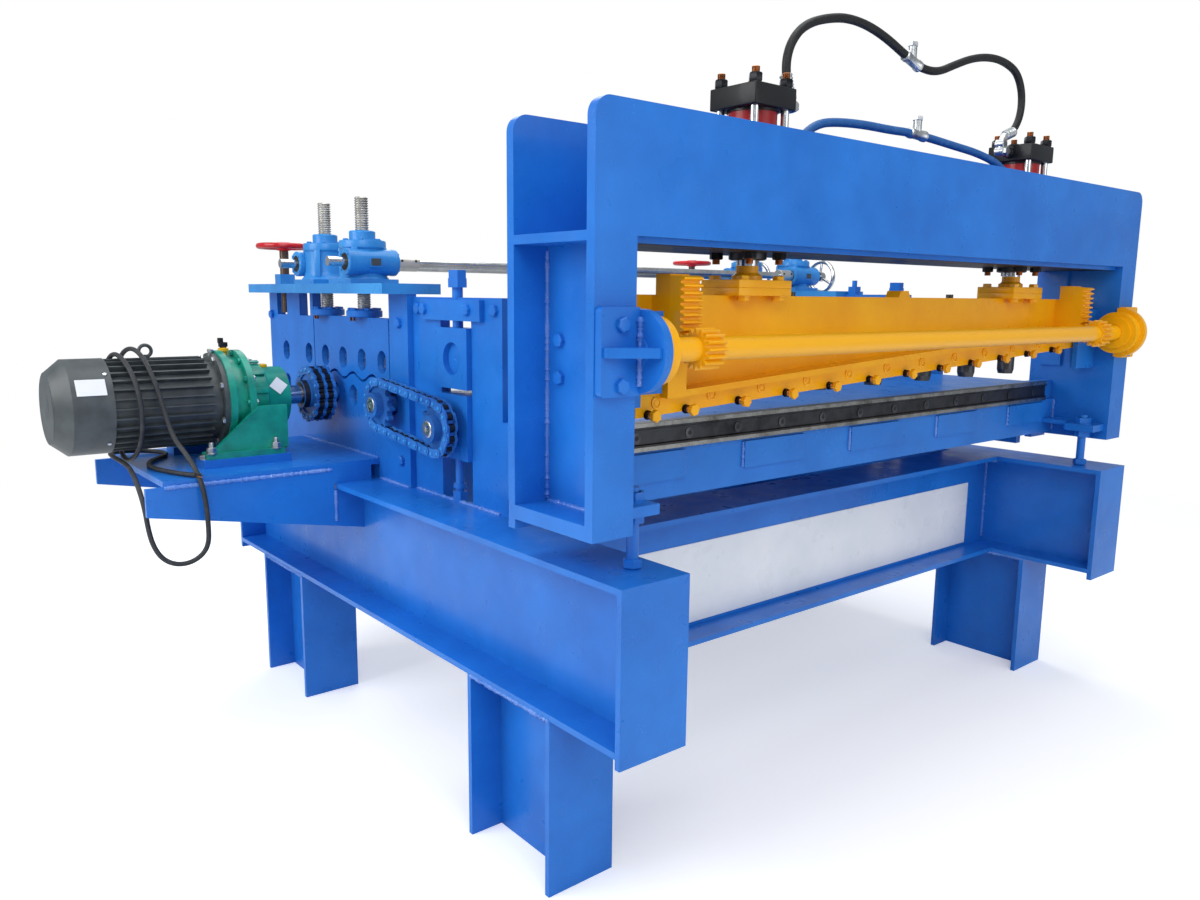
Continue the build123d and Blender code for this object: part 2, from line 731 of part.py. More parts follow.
def upper_knife():
    """Raked upper knife on the back of the knife beam."""
    half = UPPER_KNIFE_X
    low = KNIFE_BELOW
    with BuildPart() as knife:
        with BuildSketch(Plane((0, KNIFE_BACK_Y, 0), x_dir=(1, 0, 0), z_dir=(0, -1, 0))):
            with BuildLine():
                Polyline((-half, rake(-half) - low), (half, rake(half) - low),
                         (half, rake(half) - low + UPPER_KNIFE_H),
                         (-half, rake(-half) - low + UPPER_KNIFE_H), close=True)
            make_face()
        extrude(amount=-KNIFE_T)
    return knife.part


def hold_downs():
    """Press bar behind the knife beam with its plungers and two guide rods."""
    span = (PLUNGERS - 1) * PLUNGER_PITCH / 2
    radius = PLUNGER_D / 2
    with BuildPart() as press:
        block(-span - PRESS_BAR_OVER, span + PRESS_BAR_OVER, PLUNGER_Y - PRESS_BAR_D / 2 + 4,
              PLUNGER_Y + PRESS_BAR_D / 2, PRESS_BAR_Z, PRESS_BAR_Z + PRESS_BAR_H)
        for i in range(PLUNGERS):
            x = -span + i * PLUNGER_PITCH
            with BuildSketch(Plane((x, PLUNGER_Y, 0), x_dir=(1, 0, 0), z_dir=(0, -1, 0))):
                with BuildLine():
                    Polyline((0, PLUNGER_BOTTOM), (radius - PLUNGER_TAPER, PLUNGER_BOTTOM),
                             (radius, PLUNGER_BOTTOM + PLUNGER_NOSE), (radius, PRESS_BAR_Z),
                             (0, PRESS_BAR_Z), close=True)
                make_face()
            revolve(axis=Axis((x, PLUNGER_Y, 0), (0, 0, 1)))
        for s in (-1, 1):
            rod(s * PRESS_ROD_X, PLUNGER_Y, PRESS_BAR_Z + PRESS_BAR_H, PRESS_ROD_TOP, PRESS_ROD_D)
    return press.part


def sill():
    """Lower knife beam between the columns: knife seat and table, five welded pads on its face."""
    back = PORTAL_REAR_Y
    seat = LOWER_KNIFE_Y + LOWER_KNIFE_T
    z1 = TABLE_TOP
    lap = SILL_Y + SILL_T + SEAT_LAP
    pad_top = z1 - LOWER_KNIFE_H - PAD_DROP
    with BuildPart() as beam:
        with BuildSketch(Plane((-WEB_IN, 0, 0), x_dir=(0, 1, 0), z_dir=(1, 0, 0))):
            with BuildLine():
                Polyline((SILL_Y, SILL_BOTTOM), (back, SILL_BOTTOM), (back, SILL_BOTTOM + SILL_T),
                         (SILL_Y + SILL_T, SILL_BOTTOM + SILL_T), (SILL_Y + SILL_T, z1 - TABLE_T),
                         (lap, z1 - TABLE_T), (lap, z1), (seat, z1), (seat, z1 - LOWER_KNIFE_H),
                         (SILL_Y, z1 - LOWER_KNIFE_H), close=True)
            make_face()
        extrude(amount=2 * WEB_IN)
        block(-TABLE_X, TABLE_X, seat, TABLE_REAR, z1 - TABLE_T, z1)
        for x in (TABLE_RIB_T - TABLE_X, 0, TABLE_X - TABLE_RIB_T):
            block(x - TABLE_RIB_T / 2, x + TABLE_RIB_T / 2, SILL_Y + SILL_T, TABLE_REAR - TABLE_RIB_H,
                  z1 - TABLE_T - TABLE_RIB_H, z1 - TABLE_T)
        for i in range(PADS):
            x = (i - (PADS - 1) / 2) * PAD_PITCH
            block(x - PAD_W / 2, x + PAD_W / 2, SILL_Y - PAD_T, SILL_Y, pad_top - PAD_H, pad_top)
    return beam.part


def lower_knife():
    """Lower knife: flat bar with a wide relieved groove along its face."""
    with BuildPart() as knife:
        y0, y1 = LOWER_KNIFE_Y, LOWER_KNIFE_Y + LOWER_KNIFE_T
        z0, z1 = TABLE_TOP - LOWER_KNIFE_H, TABLE_TOP
        with BuildSketch(Plane((-LOWER_KNIFE_X, 0, 0), x_dir=(0, 1, 0), z_dir=(1, 0, 0))):
            with BuildLine():
                Polyline((y0, z0), (y1, z0), (y1, z1), (y0, z1), (y0, z1 - GROOVE_LAND),
                         (y0 + GROOVE_D, z1 - GROOVE_LAND - 2), (y0 + GROOVE_D, z0 + GROOVE_LAND + 2),
                         (y0, z0 + GROOVE_LAND), close=True)
            make_face()
        extrude(amount=2 * LOWER_KNIFE_X)
    return knife.part


def cylinder(side):
    """Tie-rod hydraulic cylinder standing on the deck, bored for its rod and piston."""
    x, y = side * CYL_X, CYL_Y
    z0 = DECK_TOP
    z1 = z0 + CAP_H
    z2 = z1 + BARREL_H
    z3 = z2 + CAP_H
    off = CAP_SIZE / 2 - TIE_INSET
    with BuildPart() as body:
        for a, b in ((z0, z1), (z2, z3)):
            block(x - CAP_SIZE / 2, x + CAP_SIZE / 2, y - CAP_SIZE / 2, y + CAP_SIZE / 2, a, b)
        rod(x, y, z1, z2, BARREL_D)
        rod(x, y, z1, z2, BARREL_BORE, Mode.SUBTRACT)
        rod(x, y, z0, z1, ROD_D + 2 * RUN_GAP, Mode.SUBTRACT)
        for dx in (-off, off):
            for dy in (-off, off):
                rod(x + dx, y + dy, z1, z2, TIE_D)
                hexagon(x + dx, y + dy, z3, z3 + TIE_NUT_H, TIE_NUT_AF)
                rod(x + dx, y + dy, z3, z3 + TIE_NUT_H + TIE_SPARE, TIE_D - 2)
        inner = x - side * CAP_SIZE / 2
        for z in ((z0 + z1) / 2, (z2 + z3) / 2):
            shaft(inner, inner - side * PORT_L, y, z, PORT_D)
    return body.part


def piston_rods():
    """Two piston rods with pistons, each ending in a flange bolted on the knife beam."""
    with BuildPart() as pair:
        for s in (-1, 1):
            x = s * CYL_X
            z = KNIFE_BEAM_TOP
            block(x - CLEVIS_W / 2, x + CLEVIS_W / 2, CYL_Y - CLEVIS_D / 2, CYL_Y + CLEVIS_D / 2,
                  z, z + CLEVIS_T)
            top = DECK_TOP + CAP_H + BARREL_H - 10
            rod(x, CYL_Y, z + CLEVIS_T, top, ROD_D)
            rod(x, CYL_Y, top - PISTON_H, top, BARREL_BORE - 2 * RUN_GAP)
    return pair.part


def seam(y):
    """Height of the wavy split between the fixed wall and the moving roll seat."""
    return SEAM_Z - SEAM_AMP * cos(2 * pi * (y - UPPER_YS[0]) / ROLL_PITCH)


def seam_points(y0, y1, shift):
    """Points of the seam from y0 to y1, about six to a roll pitch."""
    steps = max(8, round((y1 - y0) / ROLL_PITCH * 6))
    return [(y0 + (y1 - y0) * i / steps, seam(y0 + (y1 - y0) * i / steps) + shift)
            for i in range(steps + 1)]


def kidney_holes(ys, z):
    """Kidney-shaped roll holes: two overlapping bores on a wall sketch."""
    for y in ys:
        with Locations((y, z - KIDNEY_SPREAD / 2), (y, z + KIDNEY_SPREAD / 2)):
            Circle(JOURNAL_D / 2 + KIDNEY_CLEAR, mode=Mode.SUBTRACT)


def leveller_wall(side):
    """Fixed leveller wall: U-shaped channel with a wavy floor, windows and roll holes."""
    s = side
    z0 = BEAM_TOP
    outer = Plane((s * WALL_X, 0, 0), x_dir=(0, 1, 0), z_dir=(1, 0, 0))
    low = [(y, z) for y, z in seam_points(CHANNEL_FRONT, CHANNEL_REAR, -SEAM_GAP / 2)]
    with BuildPart() as wall:
        with BuildSketch(outer):
            with BuildLine():
                Polyline([(WALL_FRONT, z0), (WALL_REAR, z0), (WALL_REAR, WALL_TOP),
                          (CHANNEL_REAR, WALL_TOP)], mode=Mode.ADD)
                Line((CHANNEL_REAR, WALL_TOP), low[-1])
                Spline(low[::-1])
                Polyline([low[0], (CHANNEL_FRONT, WALL_TOP), (WALL_FRONT, WALL_TOP),
                          (WALL_FRONT, z0)])
            make_face()
            for yc in (STEP_WINDOW_Y, ENTRY_SCREW_Y):
                with Locations((yc, WALL_TOP - WINDOW_H / 2)):
                    Rectangle(WINDOW_W, WINDOW_H, mode=Mode.SUBTRACT)
            kidney_holes(ROLL_YS + [ENTRY_Y], ROLL_LOWER_Z)
            kidney_holes(STEP_ROLL_YS, ROLL_UPPER_Z)
        extrude(amount=-s * WALL_T)
        back = s * (WALL_X - WALL_T)
        x1 = back - s * (SLIDE_GAP + GIB_T)
        gib_z = SEAM_Z + GIB_LIFT
        for y0, y1, lap0 in ((CHANNEL_FRONT - GIB_W, CHANNEL_FRONT, CHANNEL_FRONT),
                             (CHANNEL_REAR, CHANNEL_REAR + GIB_REAR_W, CHANNEL_REAR - GIB_LAP)):
            block(back, x1, y0, y1, gib_z, SEAT_TOP)
            block(back - s * SLIDE_GAP, x1, lap0, lap0 + GIB_LAP, gib_z, SEAT_TOP)
    return wall.part


def roll_seat(side):
    """Moving seat of the upper rolls with its wavy lower edge."""
    s = side
    y0, y1 = CHANNEL_FRONT + SLIDE_GAP, CHANNEL_REAR - SLIDE_GAP
    low = seam_points(y0, y1, SEAM_GAP / 2)
    with BuildPart() as seat:
        with BuildSketch(Plane((s * WALL_X, 0, 0), x_dir=(0, 1, 0), z_dir=(1, 0, 0))):
            with BuildLine():
                Spline(low)
                Polyline([low[-1], (y1, SEAT_TOP), (y0, SEAT_TOP), low[0]])
            make_face()
            kidney_holes(UPPER_YS, ROLL_UPPER_Z)
        extrude(amount=-s * WALL_T)
    return seat.part


def jack_station(side):
    """Jack plate with two worm-gear screw jack housings."""
    s = side
    x = s * SCREW_X
    z0 = JACK_TOP
    with BuildPart() as jacks:
        block(x - JACK_PLATE_W / 2, x + JACK_PLATE_W / 2, JACK_PLATE_FRONT, JACK_PLATE_REAR,
              WALL_TOP, z0)
        for y, d in ((JACK_FRONT_Y, -1), (JACK_REAR_Y, 1)):
            block(x - JACK_BASE / 2, x + JACK_BASE / 2, y - JACK_BASE / 2, y + JACK_BASE / 2,
                  z0, z0 + JACK_BASE_T)
            top = z0 + JACK_BASE_T + JACK_BODY_H
            rod(x, y, z0 + JACK_BASE_T, top, JACK_BODY_D)
            rod(x, y, top, top + JACK_COVER_T, JACK_COVER_D)
            rod(x, y, top + JACK_COVER_T, top + JACK_COVER_T + JACK_COLLAR_H, JACK_COLLAR_D)
            worm_y = y + d * WORM_OFFSET
            shaft(x - WORM_TUBE_L / 2, x + WORM_TUBE_L / 2, worm_y, WORM_Z, WORM_TUBE_D)
            shaft(x - WORM_TUBE_L / 2, x + WORM_TUBE_L / 2, worm_y, WORM_Z,
                  CROSS_SHAFT_D + 2 * RUN_GAP, Mode.SUBTRACT)
            rod(x, y, WALL_TOP, top + JACK_COVER_T + JACK_COLLAR_H,
                SCREW_D + 2 * RUN_GAP, Mode.SUBTRACT)
        block(x - ENTRY_NUT / 2, x + ENTRY_NUT / 2, ENTRY_SCREW_Y - ENTRY_NUT / 2,
              ENTRY_SCREW_Y + ENTRY_NUT / 2, z0, z0 + ENTRY_NUT_H)
        rod(x, ENTRY_SCREW_Y, WALL_TOP, z0 + ENTRY_NUT_H, ENTRY_SCREW_D + 2 * RUN_GAP, Mode.SUBTRACT)
    return jacks.part


def jack_screws():
    """Four lifting screws, each with the flange that carries a roll seat."""
    with BuildPart() as screws:
        for s in (-1, 1):
            x = wall_x(s, SCREW_X)
            for y in (JACK_FRONT_Y, JACK_REAR_Y):
                rod(x, y, SEAT_TOP, SEAT_TOP + FLANGE_T, FLANGE_D)
                rod(x, y, SEAT_TOP + FLANGE_T, SCREW_TOP, SCREW_D)
    return screws.part


def wheel_rim(section, axis, radius, thickness):
    """Handwheel rim: a many-sided section turned round the wheel's axis."""
    with BuildSketch(section) as ring:
        with Locations((radius, 0)):
            RegularPolygon(thickness / 2, RIM_SIDES)
    revolve(ring.sketch, axis=axis)


def cross_shaft(y):
    """Worm shaft across both jacks with couplings and the handwheel at its far end."""
    inner = SCREW_X - WORM_TUBE_L / 2 - RUN_GAP
    hub = WHEEL_X + WHEEL_HUB_T / 2
    rim = (WHEEL_D - WHEEL_RIM_D) / 2
    centre = (WHEEL_X + WHEEL_DISH, y, WORM_Z)
    with BuildPart() as whole:
        shaft(-SCREW_X - WORM_TUBE_L / 2 - STUB_L, hub, y, WORM_Z, CROSS_SHAFT_D)
        for s in (-1, 1):
            shaft(wall_x(s, inner), wall_x(s, inner - COUPLING_L), y, WORM_Z, COUPLING_D)
        shaft(hub - WHEEL_HUB_T, hub, y, WORM_Z, WHEEL_HUB_D)
        wheel_rim(Plane(centre, x_dir=(0, 0, 1), z_dir=(0, 1, 0)), Axis(centre, (1, 0, 0)), rim, WHEEL_RIM_D)
        for k in range(SPOKES):
            a = 2 * pi * k / SPOKES + pi / 2
            root = (WHEEL_X, y + SPOKE_ROOT * cos(a), WORM_Z + SPOKE_ROOT * sin(a))
            run = rim - SPOKE_ROOT
            sleeve(root, (WHEEL_DISH, run * cos(a), run * sin(a)), run, SPOKE_D)
    return whole.part


def entry_wheel(side):
    """Red handwheel on the adjusting screw of the entry roll."""
    x, y = side * SCREW_X, ENTRY_SCREW_Y
    centre = (x, y, ENTRY_WHEEL_Z)
    rim = (ENTRY_WHEEL_D - ENTRY_WHEEL_RIM_D) / 2
    with BuildPart() as wheel:
        rod(x, y, ENTRY_SCREW_BOTTOM, ENTRY_WHEEL_Z, ENTRY_SCREW_D)
        rod(x, y, ENTRY_WHEEL_Z - ENTRY_HUB_H / 2, ENTRY_WHEEL_Z + ENTRY_HUB_H / 2, ENTRY_HUB_D)
        wheel_rim(Plane(centre, x_dir=(1, 0, 0), z_dir=(0, -1, 0)), Axis(centre, (0, 0, 1)),
                  rim, ENTRY_WHEEL_RIM_D)
        for k in range(SPOKES):
            a = 2 * pi * k / SPOKES + SPOKE_TURN
            root = (x + SPOKE_ROOT * cos(a), y + SPOKE_ROOT * sin(a), ENTRY_WHEEL_Z)
            sleeve(root, (cos(a), sin(a), 0), rim - SPOKE_ROOT, SPOKE_D)
    return wheel.part


def roll(y, z, dia, face_x, journal, end):
    """Roll with a journal at each end."""
    shaft(-face_x, wall_x(1, face_x), y, z, dia)
    shaft(-end, wall_x(1, end), y, z, journal)


def level_roll(y, z):
    """Levelling roll with a bearing ring against the inner face of each wall."""
    inner = WALL_X - WALL_T
    roll(y, z, ROLL_D, ROLL_FACE_X, JOURNAL_D, WALL_X - JOURNAL_SHORT)
    for s in (-1, 1):
        shaft(wall_x(s, inner - ROLL_RING_T), wall_x(s, inner), y, z, ROLL_RING_D)


def upper_rolls():
    """Upper levelling rolls that ride in the moving seats."""
    with BuildPart() as rolls:
        for y in UPPER_YS:
            level_roll(y, ROLL_UPPER_Z - KIDNEY_SPREAD / 2)
    return rolls.part


def lower_rolls():
    """Lower levelling rolls and the entry rolls in the fixed walls."""
    with BuildPart() as rolls:
        for y in ROLL_YS + [ENTRY_Y]:
            level_roll(y, ROLL_LOWER_Z)
        for y in STEP_ROLL_YS:
            level_roll(y, ROLL_UPPER_Z)
    return rolls.part


def pinch_wall(side):
    """Pinch stand wall with its window and stepped front; the far one has a strap across its top."""
    s = side
    foot = PORTAL_REAR_BACK
    with BuildPart() as wall:
        with BuildSketch(Plane((s * PINCH_WALL_X, 0, 0), x_dir=(0, 1, 0), z_dir=(1, 0, 0))):
            with BuildLine():
                Polyline((WALL_FRONT, BEAM_TOP), (WALL_FRONT, PINCH_TOP), (PINCH_STEP_Y, PINCH_TOP),
                         (PINCH_STEP_Y, PINCH_STEP_Z), (foot, PINCH_STEP_Z),
                         (foot, BEAM_TOP + FOOT_CUT_Z), (PINCH_STEP_Y - FOOT_CUT_Y, BEAM_TOP + FOOT_CUT_Z),
                         (PINCH_STEP_Y - FOOT_CUT_Y, BEAM_TOP), close=True)
            make_face()
            with Locations((PINCH_Y, (PINCH_WINDOW_TOP + BEAM_TOP) / 2)):
                Rectangle(PINCH_WINDOW + 2 * BLOCK_GAP, PINCH_WINDOW_TOP - BEAM_TOP,
                          mode=Mode.SUBTRACT)
        extrude(amount=-s * PINCH_WALL_T)
        block(s * PINCH_WALL_X, s * (PINCH_WALL_X + BLOCK_PROUD), BAR_FRONT, BAR_REAR,
              BAR_BOTTOM, BAR_TOP)
        if s > 0:
            x = PINCH_X
            strap = PINCH_TOP + STRAP_T
            block(PINCH_WALL_X - PINCH_WALL_T, PINCH_WALL_X + BLOCK_PROUD, STRAP_FRONT, JACK_PLATE_FRONT,
                  PINCH_TOP, strap)
            block(x - STRAP_NUT_W / 2, x + STRAP_NUT_W / 2, STRAP_NUT_Y - STRAP_NUT_W / 2,
                  STRAP_NUT_Y + STRAP_NUT_W / 2, strap, strap + STRAP_NUT_H)
            rod(x, STRAP_NUT_Y, strap + STRAP_NUT_H, strap + STRAP_NUT_H + STRAP_STUD_H, STRAP_STUD_D)
        rod(s * PINCH_X, PINCH_Y, BAR_BOTTOM, PINCH_TOP + STRAP_T, PINCH_SCREW_D + 2 * RUN_GAP,
            Mode.SUBTRACT)
    return wall.part


def pinch_blocks(side):
    """Two bearing blocks in the pinch window with their adjusting screws."""
    s = side
    y0, y1 = PINCH_Y - PINCH_WINDOW / 2, PINCH_Y + PINCH_WINDOW / 2
    xo = PINCH_WALL_X + BLOCK_PROUD
    xi = PINCH_WALL_X - PINCH_WALL_T - BLOCK_BACK
    x = s * PINCH_X
    heads = PINCH_TOP + PINCH_SCREW_OUT
    with BuildPart() as blocks:
        block(s * xi, s * xo, y0, y1, UPPER_BLOCK_BOTTOM, UPPER_BLOCK_TOP)
        block(s * xi, s * xo, y0, y1, LOWER_BLOCK_BOTTOM, LOWER_BLOCK_TOP)
        shaft(s * (xo - BLOCK_BORE_DEPTH), s * xo, PINCH_Y, PINCH_UPPER_Z, BLOCK_BORE, Mode.SUBTRACT)
        for z in (PINCH_UPPER_Z, PINCH_LOWER_Z):
            shaft(s * xi, s * xo, PINCH_Y, z, PINCH_SHAFT_D, Mode.SUBTRACT)
        rod(x, PINCH_Y, UPPER_BLOCK_TOP, heads, PINCH_SCREW_D)
        hexagon(x, PINCH_Y, heads, heads + PINCH_NUT_H, PINCH_SCREW_AF)
        hexagon(x, PINCH_Y, heads + PINCH_NUT_H, heads + 2 * PINCH_NUT_H - 2, PINCH_SCREW_AF - 3)
        rod(x, PINCH_Y, BEAM_TOP, LOWER_BLOCK_BOTTOM, LOW_SCREW_D)
        hexagon(x, PINCH_Y, BEAM_TOP, BEAM_TOP + LOW_NUT_H, LOW_NUT_AF)
        rod(x, PINCH_Y, BEAM_TOP + LOW_NUT_H + 8, BEAM_TOP + LOW_NUT_H + 18, LOW_NUT_AF - 2)
    return blocks.part


def pinch_rolls():
    """Pair of pinch rolls whose shafts end inside their blocks."""
    end = PINCH_WALL_X + BLOCK_PROUD - BLOCK_BORE_DEPTH - 2
    with BuildPart() as rolls:
        roll(PINCH_Y, PINCH_UPPER_Z, PINCH_ROLL_D, PINCH_FACE_X, PINCH_SHAFT_D, end)
        roll(PINCH_Y, PINCH_LOWER_Z, PINCH_ROLL_D, PINCH_FACE_X, PINCH_SHAFT_D, end)
    return rolls.part


def motor_platform():
    """Bracket plate for the drive, two tapered ribs coped round the side beam's flange."""
    web = BEAM_X + SECTION_WEB / 2
    top = PLATFORM_TOP - PLATFORM_T
    edge = BEAM_X + SECTION_W / 2
    with BuildPart() as platform:
        block(-PLATFORM_OUT, -WALL_X, PLATFORM_FRONT, PLATFORM_REAR, top, PLATFORM_TOP)
        for y in (PLATFORM_FRONT, PLATFORM_REAR - RIB_PLATE_T):
            with BuildSketch(Plane((0, y, 0), x_dir=(1, 0, 0), z_dir=(0, -1, 0))):
                with BuildLine():
                    Polyline((-RIB_OUT, top), (-WALL_X - 24, top), (-WALL_X - 24, BEAM_TOP),
                             (-edge - 4, BEAM_TOP), (-edge - 4, BEAM_TOP - SECTION_FLANGE - 4),
                             (-web, BEAM_TOP - SECTION_FLANGE - 4),
                             (-web, top - RIB_WALL_H), (-RIB_OUT, top - RIB_END_H), close=True)
                make_face()
            extrude(amount=-RIB_PLATE_T)
    return platform.part


def motor():
    """Squirrel-cage motor: fan cowl, finned frame and flange bell."""
    axis = Plane((0, MOTOR_Y, ROLL_LOWER_Z), x_dir=(0, 1, 0), z_dir=(1, 0, 0))
    with BuildPart() as body:
        with BuildSketch(axis.offset(-FAN_X0)):
            Circle(FAN_FACE_R)
        with BuildSketch(axis.offset(-FAN_X0 + FAN_CHAMFER)):
            Circle(FAN_R)
        loft()
        shaft(-FAN_X0 + FAN_CHAMFER, -FAN_X1, MOTOR_Y, ROLL_LOWER_Z, 2 * FAN_R)
        shaft(-FAN_X1, -REDUCER_X0, MOTOR_Y, ROLL_LOWER_Z, 2 * FRAME_R)
        shaft(-REDUCER_X0 - BELL_T, -REDUCER_X0, MOTOR_Y, ROLL_LOWER_Z, 2 * BELL_R)
        with BuildSketch(axis.offset(-FAN_X1)):
            with PolarLocations(FRAME_R + FIN_H / 2 - 2, FINS):
                Rectangle(FIN_H + 4, FIN_T)
        extrude(amount=FAN_X1 - FIN_END)
        block(-BOX_X0, -BOX_X0 + BOX_L, MOTOR_Y + BOX_REACH - BOX_W, MOTOR_Y + BOX_REACH,
              ROLL_LOWER_Z - BOX_H / 2, ROLL_LOWER_Z + BOX_H / 2)
        shaft(-BOX_X0 - GLAND_L, -BOX_X0, GLAND_Y, GLAND_Z, GLAND_D)
    return body.part


def reducer():
    """Cycloidal reducer: two bolting flanges, ring, body, nose, output shaft and gusseted feet."""
    y, z = MOTOR_Y, ROLL_LOWER_Z
    low = PLATFORM_TOP + BAR_H
    top = low + FOOT_PLATE_T
    front = -REDUCER_X2 + GUSSET_OVER
    with BuildPart() as gearbox:
        shaft(-REDUCER_X0, -REDUCER_X0 + REDUCER_FLANGE_T, y, z, 2 * REDUCER_FLANGE_R)
        shaft(-REDUCER_X0, -REDUCER_X1, y, z, 2 * REDUCER_RING_R)
        shaft(-REDUCER_X1 - REDUCER_FLANGE_T, -REDUCER_X1, y, z, 2 * REDUCER_FLANGE_R)
        shaft(-REDUCER_X1, -REDUCER_X2, y, z, 2 * REDUCER_BODY_R)
        shaft(-REDUCER_X2, -NOSE_X, y, z, 2 * NOSE_R)
        shaft(-NOSE_X, -COUPLING_X0 + SHAFT_GRIP, y, z, OUT_SHAFT_D)
        for d in (-1, 1):
            yb = y + d * FOOT_PITCH / 2
            block(-FOOT_X - FOOT_L / 2, -FOOT_X + FOOT_L / 2, yb - FOOT_W / 2, yb + FOOT_W / 2, low, top)
            with BuildSketch(Plane((0, yb - GUSSET_T / 2, 0), x_dir=(1, 0, 0), z_dir=(0, -1, 0))):
                with BuildLine():
                    Polyline((-FOOT_X - FOOT_L / 2 + GUSSET_T, top), (front, top),
                             (front, z - GUSSET_DROP), (-REDUCER_X1, z - GUSSET_DROP), close=True)
                make_face()
            extrude(amount=-GUSSET_T)
        block(-REDUCER_X1, front, y - FOOT_PITCH / 2, y + FOOT_PITCH / 2,
              low, z - REDUCER_BODY_R + CRADLE_LAP)
    return gearbox.part


def base_bars():
    """Two flat bars between the reducer feet and the platform."""
    with BuildPart() as bars:
        for d in (-1, 1):
            yb = MOTOR_Y + d * FOOT_PITCH / 2
            block(-FOOT_X - BAR_L / 2, -FOOT_X + BAR_L / 2, yb - BAR_W / 2, yb + BAR_W / 2,
                  PLATFORM_TOP, PLATFORM_TOP + BAR_H)
    return bars.part


def sprocket_face(centre, teeth, turn):
    """Outline of a roller-chain sprocket with round tooth gaps."""
    pd = CHAIN_PITCH / sin(pi / teeth)
    with Locations(centre):
        Circle(pd / 2 + 4.5)
    for i in range(teeth):
        a = turn + 2 * pi * i / teeth
        with Locations((centre[0] + pd / 2 * cos(a), centre[1] + pd / 2 * sin(a))):
            Circle(ROLLER_D / 2 + 0.2, mode=Mode.SUBTRACT)
        with Locations((centre[0] + (pd / 2 + 6) * cos(a), centre[1] + (pd / 2 + 6) * sin(a))):
            Circle(ROLLER_D / 2 + 2.5, mode=Mode.SUBTRACT)


def chain_coupling():
    """Chain coupling: two toothed hubs joined by a duplex roller chain."""
    y, z = MOTOR_Y, ROLL_LOWER_Z
    mid = -(COUPLING_X0 + COUPLING_X1) / 2
    radius = COUPLING_PD / 2
    half = COUPLING_CHAIN_W / 2
    with BuildPart() as coupling:
        shaft(-COUPLING_X0, -COUPLING_X1, y, z, HUB_D + 12)
        for x0 in (mid - half + COUPLING_PLATE_T, mid + COUPLING_PLATE_T):
            with BuildSketch(Plane((x0, 0, 0), x_dir=(0, 1, 0), z_dir=(1, 0, 0))):
                sprocket_face((y, z), COUPLING_TEETH, 0)
            extrude(amount=half - 2 * COUPLING_PLATE_T)
        for x0 in (mid - half, mid - COUPLING_PLATE_T / 2, mid + half - COUPLING_PLATE_T):
            with BuildSketch(Plane((x0, 0, 0), x_dir=(0, 1, 0), z_dir=(1, 0, 0))):
                with Locations((y, z)):
                    Circle(radius + CHAIN_PLATE_H / 4)
                    Circle(radius - CHAIN_PLATE_H / 2, mode=Mode.SUBTRACT)
                with Locations((y, z)):
                    with PolarLocations(radius, COUPLING_TEETH):
                        Circle(CHAIN_PLATE_H / 2)
            extrude(amount=COUPLING_PLATE_T)
        for k in range(COUPLING_TEETH):
            a = 2 * pi * k / COUPLING_TEETH
            shaft(mid - half, mid + half, y + radius * cos(a), z + radius * sin(a), ROLLER_D + 1)
        shaft(-COUPLING_X0, -COUPLING_X0 + SHAFT_GRIP, y, z, OUT_SHAFT_D, Mode.SUBTRACT)
        shaft(-COUPLING_X1, -WALL_X + JOURNAL_SHORT, y, z, JOURNAL_D)
    return coupling.part


def sprocket_centres():
    """Centres of the leveller and pinch sprockets in (y, z)."""
    return (ROLL_YS[0], ROLL_LOWER_Z), (PINCH_Y, PINCH_LOWER_Z)


def drive_sprockets():
    """Sprockets with hubs on the leveller roll and on the lower pinch roll."""
    a, b = sprocket_centres()
    along = atan((b[1] - a[1]) / (b[0] - a[0]))
    with BuildPart() as pair:
        for (y, z), inner in ((a, WALL_X - JOURNAL_SHORT), (b, PINCH_WALL_X + BLOCK_PROUD - BLOCK_BORE_DEPTH - 2)):
            with BuildSketch(Plane((-SPROCKET_X - 7, 0, 0), x_dir=(0, 1, 0), z_dir=(1, 0, 0))):
                sprocket_face((y, z), SPROCKET_TEETH, along + pi / 2)
            extrude(amount=14)
            shaft(-HUB_OUT, -WALL_X - BLOCK_PROUD - 3, y, z, HUB_D)
            shaft(-WALL_X - BLOCK_PROUD - 3, -inner, y, z, JOURNAL_D)
    return pair.part


def chain_path():
    """Roller centres of the closed chain in (y, z), one per pitch."""
    a, b = sprocket_centres()
    r = SPROCKET_PD / 2
    ux, uz = (b[0] - a[0]), (b[1] - a[1])
    length = (ux ** 2 + uz ** 2) ** 0.5
    ux, uz = ux / length, uz / length
    nx, nz = -uz, ux
    points = []
    for k in range(STRAND_PITCHES):
        points.append((a[0] + r * nx + ux * CHAIN_PITCH * k, a[1] + r * nz + uz * CHAIN_PITCH * k))
    start = pi / 2
    for k in range(SPROCKET_TEETH // 2):
        t = start - 2 * pi * k / SPROCKET_TEETH
        points.append((b[0] + r * (nx * sin(t) + ux * cos(t)), b[1] + r * (nz * sin(t) + uz * cos(t))))
    for k in range(STRAND_PITCHES):
        points.append((b[0] - r * nx - ux * CHAIN_PITCH * k, b[1] - r * nz - uz * CHAIN_PITCH * k))
    for k in range(SPROCKET_TEETH // 2):
        t = start - 2 * pi * k / SPROCKET_TEETH
        points.append((a[0] - r * (nx * sin(t) + ux * cos(t)), a[1] - r * (nz * sin(t) + uz * cos(t))))
    return points


